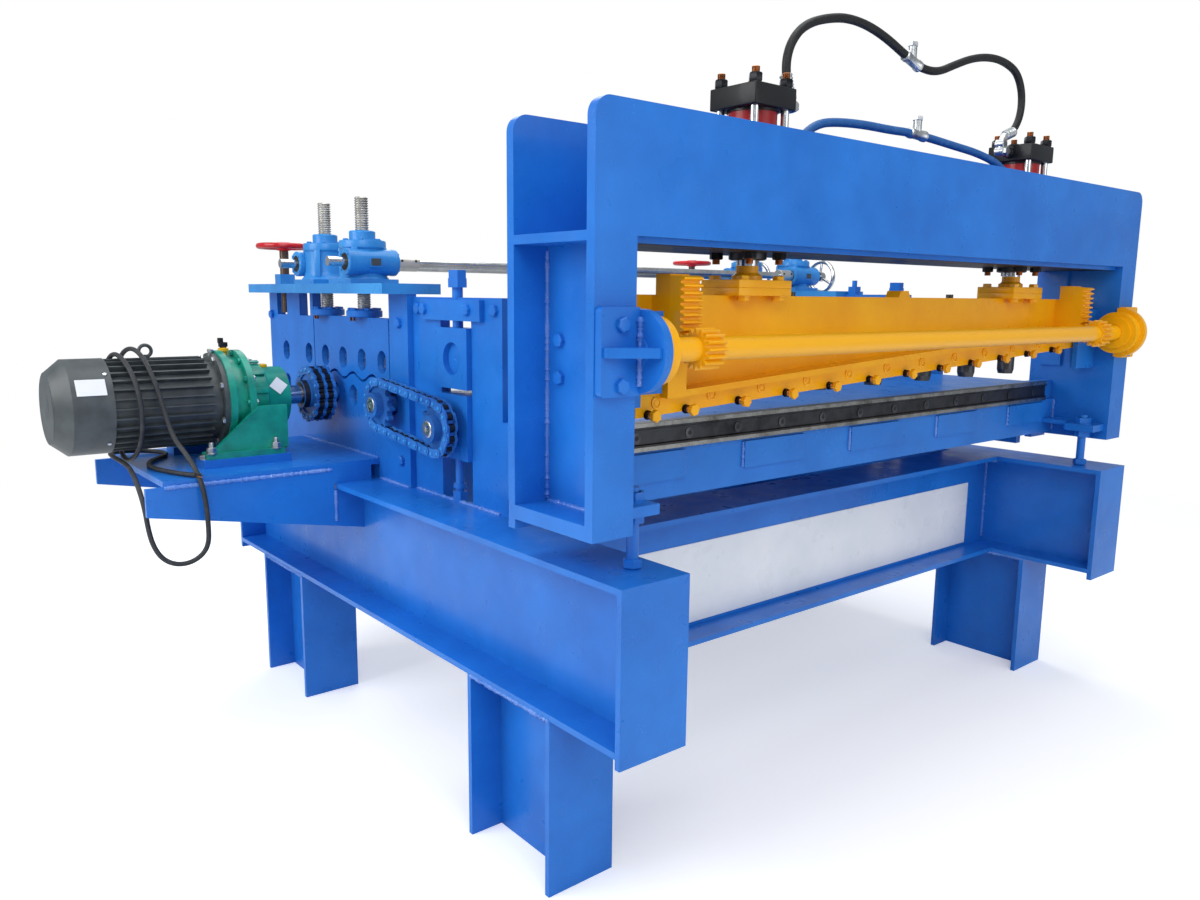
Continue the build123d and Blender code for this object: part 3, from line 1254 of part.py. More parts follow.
def drive_chain():
    """Roller chain as one closed loop: pins, rollers and alternating link plates."""
    points = chain_path()
    inner_x = CHAIN_INNER_W / 2
    outer_x = inner_x + CHAIN_PLATE_T
    with BuildPart() as chain:
        for i, (y, z) in enumerate(points):
            y2, z2 = points[(i + 1) % len(points)]
            angle = atan((z2 - z) / (y2 - y)) if abs(y2 - y) > 1e-6 else pi / 2
            shaft(-SPROCKET_X - inner_x, -SPROCKET_X + inner_x, y, z, ROLLER_D)
            start = outer_x if i % 2 else inner_x
            for d in (-1, 1):
                x0 = -SPROCKET_X + d * start
                with BuildSketch(Plane((x0, 0, 0), x_dir=(0, 1, 0), z_dir=(1, 0, 0))):
                    with Locations(Location(((y + y2) / 2, (z + z2) / 2, 0), (0, 0, angle * 180 / pi))):
                        SlotCenterToCenter(CHAIN_PITCH, CHAIN_PLATE_H * 0.84)
                extrude(amount=d * CHAIN_PLATE_T)
    return chain.part


def sweep_tube(points, dia, label):
    """Sweep a round tube along straight runs joined by large tangent arcs."""
    radii = []
    for p, q, r in zip(points, points[1:], points[2:]):
        u = Vector(*q) - Vector(*p)
        v = Vector(*r) - Vector(*q)
        half_turn = radians(u.get_angle(v)) / 2
        radii.append(0.45 * min(u.length, v.length) / tan(half_turn))
    print(label, "least bend radius", round(min(radii)), "mm,", round(min(radii) / dia, 1), "diameters")
    with BuildLine() as path:
        FilletPolyline(*points, radius=radii)
    with BuildSketch(Plane(path.line @ 0, z_dir=path.line % 0)) as section:
        Circle(dia / 2)
    sweep(section.sketch, path=path.line)
    return path.line


def sleeve(start, direction, length, dia):
    """Round sleeve from a point along a direction."""
    with BuildSketch(Plane(start, z_dir=direction)) as ring:
        Circle(dia / 2)
    extrude(ring.sketch, amount=length)


def hose(points, tee_at, ports, label):
    """Hydraulic hose with crimped ends, an elbow at each port and a tee with a capped branch."""
    with BuildPart() as whole:
        line = sweep_tube(points, HOSE_D, label)
        ends = ((points[0], line % 0, ports[0]), (points[-1], -(line % 1), ports[1]))
        for start, direction, port in ends:
            sleeve(start, direction, CRIMP_L, CRIMP_D)
            knee = Vector(*port) + Vector(0, 0, ELBOW_RISE)
            sleeve(start, knee - Vector(*start), (knee - Vector(*start)).length, ELBOW_D)
            sleeve(port, (0, 0, 1), ELBOW_RISE, ELBOW_D)
            body = ELBOW_D / 2 + ELBOW_GAP
            for joint in (knee, port):
                sleeve(Vector(*joint) - Vector(0, body, 0), (0, 1, 0), 2 * body, 2 * body)
        middle = line @ tee_at
        along = line % tee_at
        sleeve(middle - along * TEE_L / 2, along, TEE_L, CRIMP_D)
        sleeve(middle, (0, 0, 1), TEE_BRANCH, ELBOW_D)
        hexagon(middle.X, middle.Y, middle.Z + TEE_BRANCH, middle.Z + TEE_BRANCH + 10, TEE_CAP_AF)
    return whole.part


def motor_cable():
    """Loose supply cable of the motor: two turns round the frame, a hanging loop and a free end."""
    with BuildPart() as cable:
        sweep_tube(CABLE_ROUTE, CABLE_D, "motor cable")
    return cable.part


def name_plate():
    """Blank white plate on the web of the front cross beam."""
    front = CROSS_FRONT_Y - SECTION_WEB / 2
    middle = BEAM_TOP - SECTION_D / 2 - SIGN_DROP
    half = BEAM_X - SECTION_W / 2 - SIGN_GAP
    with BuildPart() as plate:
        block(-half, half, front - SIGN_T, front, middle - SIGN_H / 2, middle + SIGN_H / 2)
    return plate.part


PORT_X = CYL_X - CAP_SIZE / 2 - PORT_L
UPPER_PORT_Z = DECK_TOP + CAP_H * 1.5 + BARREL_H
LOWER_PORT_Z = DECK_TOP + CAP_H / 2
ELBOW_X = PORT_X - ELBOW_GAP - ELBOW_D / 2
UPPER_PORTS = [(-ELBOW_X, CYL_Y, UPPER_PORT_Z), (ELBOW_X, CYL_Y, UPPER_PORT_Z)]
LOWER_PORTS = [(-ELBOW_X, CYL_Y, LOWER_PORT_Z), (ELBOW_X, CYL_Y, LOWER_PORT_Z)]
BLACK_HOSE = [
    (-415, 155, 1522), (-427, 155, 1562), (-422, 155, 1604), (-399, 155, 1639), (-362, 155, 1665),
    (-306, 155, 1684), (-240, 155, 1697), (-168, 155, 1695), (-98, 155, 1681), (-32, 155, 1660),
    (35, 155, 1640), (105, 155, 1641), (175, 155, 1668), (245, 155, 1693), (315, 155, 1708),
    (384, 155, 1712), (450, 155, 1701), (480.5, 155, 1679.7), (499.1, 155, 1647.5),
    (502.3, 155, 1610.4), (489.6, 155, 1575.5), (463.3, 155, 1549.2), (431.3, 155, 1537.6)]
BLUE_HOSE = [
    (-413, 155, 1286), (-415, 155, 1344), (-404, 155, 1402), (-370, 155, 1449), (-318, 155, 1480),
    (-250, 155, 1490), (-160, 155, 1495), (-65, 155, 1495), (10, 155, 1498), (100, 152, 1493),
    (190, 148, 1486), (270, 138, 1478), (335, 122, 1460), (386, 108, 1424), (416, 102, 1372),
    (420, 110, 1320), (413, 130, 1276)]
CABLE_ROUTE = [
    (-1304, 1500, 868), (-1342, 1500, 869), (-1374, 1493, 888), (-1393, 1470, 922),
    (-1399, 1424, 958), (-1395, 1362, 984), (-1388, 1296, 968), (-1380, 1243, 925),
    (-1374, 1224, 862), (-1373, 1236, 800), (-1378, 1272, 750), (-1386, 1330, 722),
    (-1386, 1392, 730), (-1382, 1450, 765), (-1378, 1490, 820), (-1372, 1503, 880),
    (-1366, 1478, 940), (-1360, 1428, 982), (-1353, 1362, 994), (-1346, 1300, 974),
    (-1338, 1250, 925), (-1328, 1225, 860), (-1317, 1198, 790), (-1308, 1152, 764),
    (-1301, 1116, 738), (-1293, 1084, 700), (-1288, 1077, 650), (-1286, 1076, 600), (-1287, 1077, 557),
    (-1302, 1081, 531), (-1328, 1087, 516), (-1358, 1093, 516), (-1383, 1100, 532),
    (-1397, 1110, 560), (-1402, 1124, 594), (-1402, 1146, 645), (-1405, 1178, 690),
    (-1406, 1230, 722), (-1405, 1295, 727), (-1404, 1360, 725), (-1402, 1425, 726),
    (-1398, 1468, 724), (-1382, 1506, 721), (-1350, 1528, 718), (-1312, 1528, 716),
    (-1280, 1506, 714), (-1266, 1468, 714), (-1276, 1428, 714), (-1304, 1396, 714),
    (-1334, 1354, 714), (-1351, 1300, 714), (-1349, 1240, 714), (-1332, 1178, 714),
    (-1312, 1128, 714), (-1300, 1096, 716)]


def write_all():
    """Build every piece and write its STEP file."""
    for side, tag in ((-1, "left"), (1, "right")):
        save(side_frame(side), f"side_frame_{tag}")
        save(portal_column(side), f"portal_column_{tag}")
        save(shaft_bracket(side), f"shaft_bracket_{tag}")
        save(cylinder(side), f"cylinder_{tag}")
        save(on_wall(leveller_wall(side), side), f"leveller_wall_{tag}")
        save(on_wall(roll_seat(side), side), f"roll_seat_{tag}")
        save(on_wall(jack_station(side), side), f"jack_station_{tag}")
        save(on_wall(entry_wheel(side), side), f"entry_wheel_{tag}")
        save(on_wall(pinch_wall(side), side), f"pinch_wall_{tag}")
        save(on_wall(pinch_blocks(side), side), f"pinch_blocks_{tag}")
    save(cross_beam(CROSS_FRONT_Y), "cross_beam_front")
    save(cross_beam(CROSS_REAR_Y), "cross_beam_rear")
    save(portal_plate(PORTAL_FRONT_Y, PORTAL_BOTTOM), "portal_front_plate")
    save(portal_plate(PORTAL_REAR_Y, PORTAL_REAR_BOTTOM), "portal_rear_plate")
    save(cylinder_deck(), "cylinder_deck")
    save(levelling_studs(), "levelling_studs")
    save(shaft_bearings(), "shaft_bearings")
    save(sync_shaft(), "sync_shaft")
    save(racks(), "racks")
    save(knife_beam(), "knife_beam")
    save(upper_knife(), "upper_knife")
    save(hold_downs(), "hold_downs")
    save(sill(), "sill")
    save(lower_knife(), "lower_knife")
    save(piston_rods(), "piston_rods")
    save(jack_screws(), "jack_screws")
    save(cross_shaft(JACK_FRONT_Y - WORM_OFFSET), "cross_shaft_front")
    save(cross_shaft(JACK_REAR_Y + WORM_OFFSET), "cross_shaft_rear")
    save(upper_rolls(), "upper_rolls")
    save(lower_rolls(), "lower_rolls")
    save(pinch_rolls(), "pinch_rolls")
    save(motor_platform(), "motor_platform")
    save(motor(), "motor")
    save(reducer(), "reducer")
    save(base_bars(), "base_bars")
    save(chain_coupling(), "chain_coupling")
    save(drive_sprockets(), "drive_sprockets")
    save(drive_chain(), "drive_chain")
    save(name_plate(), "name_plate")
    save(hose(BLACK_HOSE, BLACK_TEE_AT, UPPER_PORTS, "black hose"), "hose_black")
    save(hose(BLUE_HOSE, BLUE_TEE_AT, LOWER_PORTS, "blue hose"), "hose_blue")
    save(motor_cable(), "motor_cable")


write_all()
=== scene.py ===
"""Finishes and details of the cut-to-length machine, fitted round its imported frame.

Lengths in this file are millimetres in the machine frame (x = 0 on the centre line, y = 0 on the exit
face of the side beams, z = 0 on the floor) until at() turns them into the frame's metres.
"""

import math
import random

import bpy
from mathutils import Matrix, Vector


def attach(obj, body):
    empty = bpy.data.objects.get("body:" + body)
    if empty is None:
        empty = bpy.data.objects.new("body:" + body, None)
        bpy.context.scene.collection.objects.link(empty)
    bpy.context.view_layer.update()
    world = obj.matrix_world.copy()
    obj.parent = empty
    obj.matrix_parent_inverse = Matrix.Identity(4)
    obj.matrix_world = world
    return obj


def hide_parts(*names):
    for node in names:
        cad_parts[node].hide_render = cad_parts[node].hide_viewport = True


bl_info = {
    "name": "Cut-to-length machine",
    "version": (1, 0, 0),
    "blender": (4, 5, 0),
    "location": "3D View > Sidebar > Machine",
    "description": "Adds enamel, bolts, welds, threads, hoses and fittings to the packed machine",
    "category": "Object",
}

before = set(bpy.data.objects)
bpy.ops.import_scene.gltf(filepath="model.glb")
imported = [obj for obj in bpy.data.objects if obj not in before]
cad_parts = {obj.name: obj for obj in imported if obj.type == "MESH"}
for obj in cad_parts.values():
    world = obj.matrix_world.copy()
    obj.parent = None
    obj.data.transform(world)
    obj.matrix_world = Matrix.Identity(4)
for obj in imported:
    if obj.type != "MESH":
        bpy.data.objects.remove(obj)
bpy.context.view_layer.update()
X_MID, Y_MID = -266.0, 894.0
BEAM_TOP = 656.0
# Outer face of the near walls; the far ones stand further out
WALL_X = 845.0
FAR_SHIFT = 55.5
# Knife holder: its front face and its slope from left to right
HOLDER_FACE = 110.0
RAKE = math.tan(math.radians(2.78))
# Cylinders on the deck, their tie rods, and the heights of their ports
CYL_X, CYL_Y = 518.0, 155.0
DECK_BOTTOM, DECK_TOP = 1213.0, 1229.0
CAP, BARREL = 40.0, 209.0
LOW_PORT, HIGH_PORT = DECK_TOP + CAP / 2, DECK_TOP + 1.5 * CAP + BARREL
PORT_X = 414.0
TIE_ROD = 43.0
ROD_FLANGE_TOP = 1161.0
FLANGE_BOLT = 51.0
# Jacks on each wall, and the worms beside them
JACK_X = WALL_X - 12.5
JACK_YS = (1188, 1418)
JACK_FOOT = 1085.0
JACK_HALF = 69.0
WORM_Z = 1206.0
WORM_OFFSET = 40.0
# Bores closed by caps, in the shaft brackets and in the pinch walls, and the levelling studs
BRACKET_X, SHAFT_Y, SHAFT_Z = 918.0, 26.0, 1040.0
PINCH_X, PINCH_Y, PINCH_Z = 828.0, 737.0, 985.0
STUD_X, STUD_Y, STUD_NUT = 868.0, 86.0, 777.0
# Motor, reducer and chains
MOTOR_Y, MOTOR_Z = 1357.0, 858.0
CHAIN_X, COUPLING_X = -880.0, -901.0
CHAIN_PITCH = 25.4
LEFT, RIGHT, FRONT, DOWN = (-1, 0, 0), (1, 0, 0), (0, -1, 0), (0, 0, -1)

BLACK_HOSE = [
    (-415, 155, 1522), (-427, 155, 1562), (-422, 155, 1604), (-399, 155, 1639), (-362, 155, 1665),
    (-306, 155, 1684), (-240, 155, 1697), (-168, 155, 1695), (-98, 155, 1681), (-32, 155, 1660),
    (35, 155, 1640), (105, 155, 1641), (175, 155, 1668), (245, 155, 1693), (315, 155, 1708),
    (384, 155, 1712), (450, 155, 1701), (480.5, 155, 1679.7), (499.1, 155, 1647.5),
    (502.3, 155, 1610.4), (489.6, 155, 1575.5), (463.3, 155, 1549.2), (431.3, 155, 1537.6)]
BLUE_HOSE = [
    (-413, 155, 1286), (-415, 155, 1344), (-404, 155, 1402), (-370, 155, 1449), (-318, 155, 1480),
    (-250, 155, 1490), (-160, 155, 1495), (-65, 155, 1495), (10, 155, 1498), (100, 152, 1493),
    (190, 148, 1486), (270, 138, 1478), (335, 122, 1460), (386, 108, 1424), (416, 102, 1372),
    (420, 110, 1320), (413, 130, 1276)]
CABLE_ROUTE = [
    (-1304, 1500, 868), (-1342, 1500, 869), (-1374, 1493, 888), (-1393, 1470, 922),
    (-1399, 1424, 958), (-1395, 1362, 984), (-1388, 1296, 968), (-1380, 1243, 925),
    (-1374, 1224, 862), (-1373, 1236, 800), (-1378, 1272, 750), (-1386, 1330, 722),
    (-1386, 1392, 730), (-1382, 1450, 765), (-1378, 1490, 820), (-1372, 1503, 880),
    (-1366, 1478, 940), (-1360, 1428, 982), (-1353, 1362, 994), (-1346, 1300, 974),
    (-1338, 1250, 925), (-1328, 1225, 860), (-1317, 1198, 790), (-1308, 1152, 764),
    (-1301, 1116, 738), (-1293, 1084, 700), (-1288, 1077, 650), (-1286, 1076, 600), (-1287, 1077, 557),
    (-1302, 1081, 531), (-1328, 1087, 516), (-1358, 1093, 516), (-1383, 1100, 532),
    (-1397, 1110, 560), (-1402, 1124, 594), (-1402, 1146, 645), (-1405, 1178, 690),
    (-1406, 1230, 722), (-1405, 1295, 727), (-1404, 1360, 725), (-1402, 1425, 726),
    (-1398, 1468, 724), (-1382, 1506, 721), (-1350, 1528, 718), (-1312, 1528, 716),
    (-1280, 1506, 714), (-1266, 1468, 714), (-1276, 1428, 714), (-1304, 1396, 714),
    (-1334, 1354, 714), (-1351, 1300, 714), (-1349, 1240, 714), (-1332, 1178, 714),
    (-1312, 1128, 714), (-1300, 1096, 716)]


def at(x, y, z):
    """Machine millimetres to the frame's metres."""
    return Vector(((x - X_MID) / 1000, (y - Y_MID) / 1000, z / 1000))


def linear(colour):
    """An sRGB hex colour as linear red, green, blue and alpha."""
    parts = [int(colour[i:i + 2], 16) / 255 for i in (0, 2, 4)]
    return [p / 12.92 if p <= 0.04045 else ((p + 0.055) / 1.055) ** 2.4 for p in parts] + [1.0]


# Finishes


def add(tree, kind, settings=(), **sockets):
    """Add a node, give it its settings, and fill its sockets by number (s0, s1) or by name."""
    node = tree.nodes.new("ShaderNode" + kind)
    for key, value in dict(settings).items():
        setattr(node, key, value)
    for key, value in sockets.items():
        socket = node.inputs[int(key[1:])] if key[1:].isdigit() else node.inputs[key.replace("_", " ")]
        if isinstance(value, bpy.types.Node):
            value = value.outputs[0]
        if isinstance(value, bpy.types.NodeSocket):
            tree.links.new(value, socket)
        else:
            socket.default_value = value
    return node


def blank(name, **sockets):
    """A new material with its shader's plain values set: (material, tree, shader, object place)."""
    material = bpy.data.materials.new(name)
    material.use_nodes = True
    tree = material.node_tree
    shader = tree.nodes["Principled BSDF"]
    for key, value in sockets.items():
        shader.inputs[key.replace("_", " ")].default_value = value
    place = add(tree, "TexCoord").outputs["Object"]
    return material, tree, shader, place


def size(mm):
    """Noise scale whose features are that many millimetres across."""
    return 1000.0 / mm


MIX = {"data_type": "RGBA"}


def enamel(name, colour, deep, pale, rough=0.26, peel=0.10, dust=0.3):
    """Two-pack gloss enamel sprayed on welded plate.

    The film is thinner on edges and heavier in corners, so the tone drifts over a hand's width, dry
    overspray leaves pale specks, and orange peel of 2 mm breaks up the highlights.
    """
    material, tree, shader, place = blank(name, Coat_Weight=0.1, Coat_Roughness=0.1, Specular_IOR_Level=0.32)
    drift = add(tree, "TexNoise", Vector=place, Scale=size(170), Detail=4.0, Roughness=0.62)
    tone = add(tree, "MapRange", s0=drift, s1=0.34, s2=0.66)
    body = add(tree, "Mix", MIX, s0=tone, s6=linear(deep), s7=linear(colour)).outputs[2]
    spray = add(tree, "TexNoise", Vector=place, Scale=size(3.5), Detail=2.0)
    patch = add(tree, "TexNoise", Vector=place, Scale=size(60), Detail=2.0)
    speck = add(tree, "MapRange", s0=spray, s1=0.60, s2=0.72)
    where = add(tree, "MapRange", s0=patch, s1=0.45, s2=0.70, s4=dust)
    cover = add(tree, "Math", {"operation": "MULTIPLY"}, s0=speck, s1=where)
    film = add(tree, "Mix", MIX, s0=cover, s6=body, s7=linear(pale)).outputs[2]
    tree.links.new(film, shader.inputs["Base Color"])
    dull = add(tree, "MapRange", s0=patch, s1=0.3, s2=0.7, s3=rough, s4=rough + 0.14)
    tree.links.new(dull.outputs[0], shader.inputs["Roughness"])
    skin = add(tree, "TexNoise", Vector=place, Scale=size(2.2), Detail=1.0)
    waves = add(tree, "TexNoise", Vector=place, Scale=size(38), Detail=2.0)
    relief = add(tree, "Math", {"operation": "MULTIPLY_ADD"}, s0=waves, s1=3.0, s2=skin)
    bump = add(tree, "Bump", Strength=peel, Distance=0.0006, Height=relief)
    tree.links.new(bump.outputs[0], shader.inputs["Normal"])
    return material


def metal(name, colour, stain, rough=0.3, grain=(1.0, 1.0, 1.0), line=1.2, mark=0.08):
    """Machined or turned steel: tool marks drawn out along the cut, and thin oil stains."""
    material, tree, shader, place = blank(name, Metallic=1.0)
    drawn = add(tree, "Mapping", Vector=place, Scale=grain)
    marks = add(tree, "TexNoise", Vector=drawn, Scale=size(line), Detail=3.0)
    oil = add(tree, "TexNoise", Vector=place, Scale=size(45), Detail=5.0, Roughness=0.65)
    wet = add(tree, "MapRange", s0=oil, s1=0.42, s2=0.72)
    tint = add(tree, "Mix", MIX, s0=wet, s6=linear(colour), s7=linear(stain)).outputs[2]
    tree.links.new(tint, shader.inputs["Base Color"])
    dull = add(tree, "MapRange", s0=marks, s1=0.3, s2=0.7, s3=rough - 0.07, s4=rough + 0.09)
    tree.links.new(dull.outputs[0], shader.inputs["Roughness"])
    bump = add(tree, "Bump", Strength=mark, Distance=0.0004, Height=marks)
    tree.links.new(bump.outputs[0], shader.inputs["Normal"])
    return material


def cast(name, colour, deep, rough=0.42, grit=1.6):
    """Enamel on rough castings: sand grain of the mould under a thick coat, dirt in the hollows."""
    material, tree, shader, place = blank(name, Coat_Weight=0.1, Coat_Roughness=0.3)
    cloud = add(tree, "TexNoise", Vector=place, Scale=size(40), Detail=4.0)
    tone = add(tree, "MapRange", s0=cloud, s1=0.35, s2=0.65)
    body = add(tree, "Mix", MIX, s0=tone, s6=linear(deep), s7=linear(colour)).outputs[2]
    tree.links.new(body, shader.inputs["Base Color"])
    dull = add(tree, "MapRange", s0=cloud, s1=0.3, s2=0.7, s3=rough, s4=rough + 0.16)
    tree.links.new(dull.outputs[0], shader.inputs["Roughness"])
    sand = add(tree, "TexNoise", Vector=place, Scale=size(grit), Detail=3.0)
    bump = add(tree, "Bump", Strength=0.16, Distance=0.0006, Height=sand)
    tree.links.new(bump.outputs[0], shader.inputs["Normal"])
    return material


def rubber(name, colour, worn, rough=0.45):
    """Smooth extruded rubber cover with a faint spiral from its wrapping and dusty scuffs."""
    material, tree, shader, place = blank(name, Specular_IOR_Level=0.4)
    scuff = add(tree, "TexNoise", Vector=place, Scale=size(22), Detail=5.0, Roughness=0.7)
    amount = add(tree, "MapRange", s0=scuff, s1=0.5, s2=0.78, s4=0.6)
    tone = add(tree, "Mix", MIX, s0=amount, s6=linear(colour), s7=linear(worn)).outputs[2]
    tree.links.new(tone, shader.inputs["Base Color"])
    dull = add(tree, "MapRange", s0=scuff, s1=0.3, s2=0.7, s3=rough, s4=rough + 0.2)
    tree.links.new(dull.outputs[0], shader.inputs["Roughness"])
    wrap = add(tree, "TexNoise", Vector=place, Scale=size(2.5), Detail=2.0)
    bump = add(tree, "Bump", Strength=0.12, Distance=0.0005, Height=wrap)
    tree.links.new(bump.outputs[0], shader.inputs["Normal"])
    return material


def half_painted(name, paint, steel, bare=0.5, patch=7.0):
    """Steel parts that were sprayed in place: enamel film with dark steel showing where it missed."""
    material, tree, shader, place = blank(name)
    missed = add(tree, "TexNoise", Vector=place, Scale=size(patch), Detail=4.0, Roughness=0.6)
    film = add(tree, "MapRange", s0=missed, s1=bare - 0.04, s2=bare + 0.04)
    tone = add(tree, "Mix", MIX, s0=film, s6=linear(steel), s7=linear(paint)).outputs[2]
    tree.links.new(tone, shader.inputs["Base Color"])
    shine = add(tree, "MapRange", s0=film, s3=0.75, s4=0.0)
    tree.links.new(shine.outputs[0], shader.inputs["Metallic"])
    dull = add(tree, "MapRange", s0=film, s3=0.42, s4=0.3)
    tree.links.new(dull.outputs[0], shader.inputs["Roughness"])
    bump = add(tree, "Bump", Strength=0.15, Distance=0.0005, Height=film)
    tree.links.new(bump.outputs[0], shader.inputs["Normal"])
    return material


def parted(material, axis, height, steel, metallic):
    """Leave a sprayed piece bare up to a height in millimetres along one axis, as a masked stem is."""
    tree = material.node_tree
    shader = tree.nodes["Principled BSDF"]
    film = shader.inputs["Base Color"].links[0].from_socket
    along = add(tree, "SeparateXYZ", s0=add(tree, "TexCoord").outputs["Object"]).outputs[axis]
    edge = add(tree, "MapRange", s0=along, s1=(height - 1) / 1000, s2=(height + 1) / 1000)
    tone = add(tree, "Mix", MIX, s0=edge, s6=linear(steel), s7=film).outputs[2]
    tree.links.new(tone, shader.inputs["Base Color"])
    shine = add(tree, "MapRange", s0=edge, s3=metallic, s4=0.0)
    tree.links.new(shine.outputs[0], shader.inputs["Metallic"])
    return material


def painted_gap_shade(material, centre, middle, half):
    """Paint a dark band of millimetres either side of a chain's centre plane: painted shade in the gaps
    between the link plates, over greasy rollers.
    """
    tree = material.node_tree
    shader = tree.nodes["Principled BSDF"]
    film = shader.inputs["Base Color"].links[0].from_socket
    along = add(tree, "SeparateXYZ", s0=add(tree, "TexCoord").outputs["Object"]).outputs[0]
    off = add(tree, "Math", {"operation": "SUBTRACT"}, s0=along, s1=(centre - X_MID) / 1000)
    away = add(tree, "Math", {"operation": "ABSOLUTE"}, s0=off)
    band = add(tree, "Math", {"operation": "COMPARE"}, s0=away, s1=middle / 1000, s2=half / 1000)
    # The dark colour is painted shade in the gaps between plates, over greasy rollers
    tone = add(tree, "Mix", MIX, s0=band, s6=film, s7=linear("16181D")).outputs[2]
    tree.links.new(tone, shader.inputs["Base Color"])
    return material


def paints():
    """Enamels of the plates, castings and guards."""
    return {
        # Gloss with a slow drift of tone, so large plates don't look flat
        "blue": enamel("blue gloss enamel", "2177D4", "1B6AC4", "5C9BE4"),
        # Lighter and more specked, so the jacks stand out from the walls
        "sky": enamel("light blue gloss enamel", "3A95DC", "2A7FC8", "7DB9EC", dust=0.4),
        # Warm and bright, the first thing seen behind the opening
        "yellow": enamel("yellow gloss enamel", "F8B40A", "EFA405", "FFD458", rough=0.27),
        # Almost without orange peel, so it reads as smooth sheet
        "white": enamel("white enamelled sheet", "EDEFF2", "E2E6EB", "FFFFFF",
                        rough=0.24, peel=0.03, dust=0.1),
        # Pale flecks over deeper blue, so the ripples of a bead can be told apart
        "weld": enamel("enamel on weld bead", "6E96E0", "3C74CC", "D5DCF4", rough=0.3, peel=0.4, dust=1.0),
        # Matt and nearly black: painted shade on a thin sheet under the deck, so its underside falls into
        # shade
        "under_deck_shade": enamel("painted shade under the deck", "10161F", "0B0F16", "28303C", rough=0.5, dust=0.2),
        # Satin black with soft highlights on the caps' edges
        "cap black": enamel("black satin enamel", "17181A", "0E0F10", "3C3D40", rough=0.38, dust=0.3),
        # A long soft highlight down each barrel
        "barrel red": enamel("red satin enamel", "B5161C", "930F14", "D8555A", rough=0.3, dust=0.2),
        # Glossy rim and hub over a bare stem, with a sharp line between them
        "wheel": parted(enamel("red enamel on the wheel", "D0222C", "B5161F", "E2565A", rough=0.18, dust=0.1),
                        2, 1250.0, "6B5A50", 0.9),
        # Drifts from blue to dark blue, so the teeth part from the chain
        "sprocket": enamel("enamel sprayed over cut sprockets", "2A70C4", "163F80", "5F95D4",
                           rough=0.36, dust=0.4),
        # Blue link plates with a dark band between them: painted shade of the gap, over greasy rollers
        "chain": painted_gap_shade(enamel("enamel sprayed over greased chain", "3A82D2", "1E57A8", "7FB2EA",
                               rough=0.34, dust=0.5), CHAIN_X, 0, 7.8),
        # Dark bands of painted shade in the gaps beside the coupling's link rows, over greasy rollers
        "coupling": painted_gap_shade(enamel("enamel sprayed over coupling chain", "2F78CC", "174A94", "6FA4E0",
                                  rough=0.36, dust=0.5), COUPLING_X, 12, 7.2),
        # Yellow with patches of brownish steel, as on teeth that have worked
        "pinion": half_painted("yellow enamel over cut steel", "F5B009", "B08A3C", 0.27, 6.0),
        # Fine sand grain breaks up the light on fins and cowl
        "motor": cast("dark grey motor enamel", "4B5254", "3A4042"),
        # Shinier than the motor, with a coarser grain
        "green": cast("green gearbox enamel", "0A9E86", "068070", 0.26, 3.0),
        # Matt black painted shade, so the grille's slots look open
        "painted shade hollow": cast("unlit hollow behind the slots", "101113", "0A0B0C", 0.7),
    }


def metals():
    """Bare, blackened and plated metals."""
    return {
        # Grinding lines along the blade stretch the highlights
        "ground": metal("ground tool steel", "A5A5A2", "6F6C67", 0.3, (0.08, 1, 1), 0.8),
        # Dark, with dull lines along the blade
        "dark knife": metal("oiled black tool steel", "45464A", "2C2C2F", 0.4, (0.1, 1, 1), 1.0),
        # Faint lathe marks run round the rolls
        "turned": metal("turned bright steel", "C8CACC", "B9BBBE", 0.28, (1, 0.05, 0.05), 1.0, 0.02),
        # Nearly a mirror, with faint lines along the stroke
        "rod": metal("hard chrome rod", "C9CBCE", "9FA1A4", 0.14, (0.2, 0.2, 1), 1.5, 0.02),
        # Bright, with long shallow lines from drawing
        "shaft": metal("cold drawn shaft", "D4D5D6", "B2B3B5", 0.2, (0.05, 1, 1), 1.0, 0.02),
        # Dull enough that crests and roots don't sparkle
        "cut thread": metal("rolled thread steel", "CFCDC7", "ABA69D", 0.42, (1, 1, 1), 9.0, 0.0),
        # Bright and smooth beside the black caps
        "chrome": metal("chrome plating", "EDEFF0", "D4D6D8", 0.1, (1, 1, 1), 9.0, 0.01),
        # Pale grey with a slight grain, lighter than the oiled steel
        "zinc": metal("galvanised fastener steel", "D2D5D6", "A6AAAC", 0.34, (1, 1, 1), 3.0, 0.1),
        # Nearly black, so nuts read as dark dots
        "black oxide": metal("black oxide steel", "36373A", "232427", 0.4, (1, 1, 1), 2.0, 0.1),
        # Reddish brown ends of studs and wire
        "copper": metal("copper-washed stud", "B8794A", "8C5A38", 0.32, (1, 1, 1), 3.0, 0.1),
        # Dark grey with darker stains of oil
        "dark steel": metal("oiled dark steel", "55565A", "37383A", 0.38, (1, 1, 1), 2.0, 0.1),
        # Warm pale grey beside the bright shafts
        "sleeve": metal("turned coupling steel", "E0DDD6", "C0BBB0", 0.42, (0.3, 1, 1), 1.5, 0.02),
    }


def covers():
    """Rubber covers and moulded plastics."""
    return {
        # Black, with grey scuffs that show its bend
        "hose black": rubber("black hose rubber", "151617", "3A3B3C"),
        # Sprayed with the frame: dull blue with paler patches
        "hose blue": rubber("overpainted hose rubber", "1F5C9E", "4C86C4", 0.4),
        # Dark grey and dusty, without shine
        "cable": rubber("grey cable sheath", "2B2D30", "5A5C5E", 0.5),
        # Even and satin, more like plastic than paint
        "plug yellow": enamel("yellow moulded plastic", "E8B70C", "D8A406", "F5D460", rough=0.35, dust=0.1),
        # Dark brown and shiny, as a cup with oil in it looks
        "glass": enamel("smoked oil cup plastic", "3A3226", "2C261D", "5A5040", rough=0.15, dust=0.05),
    }


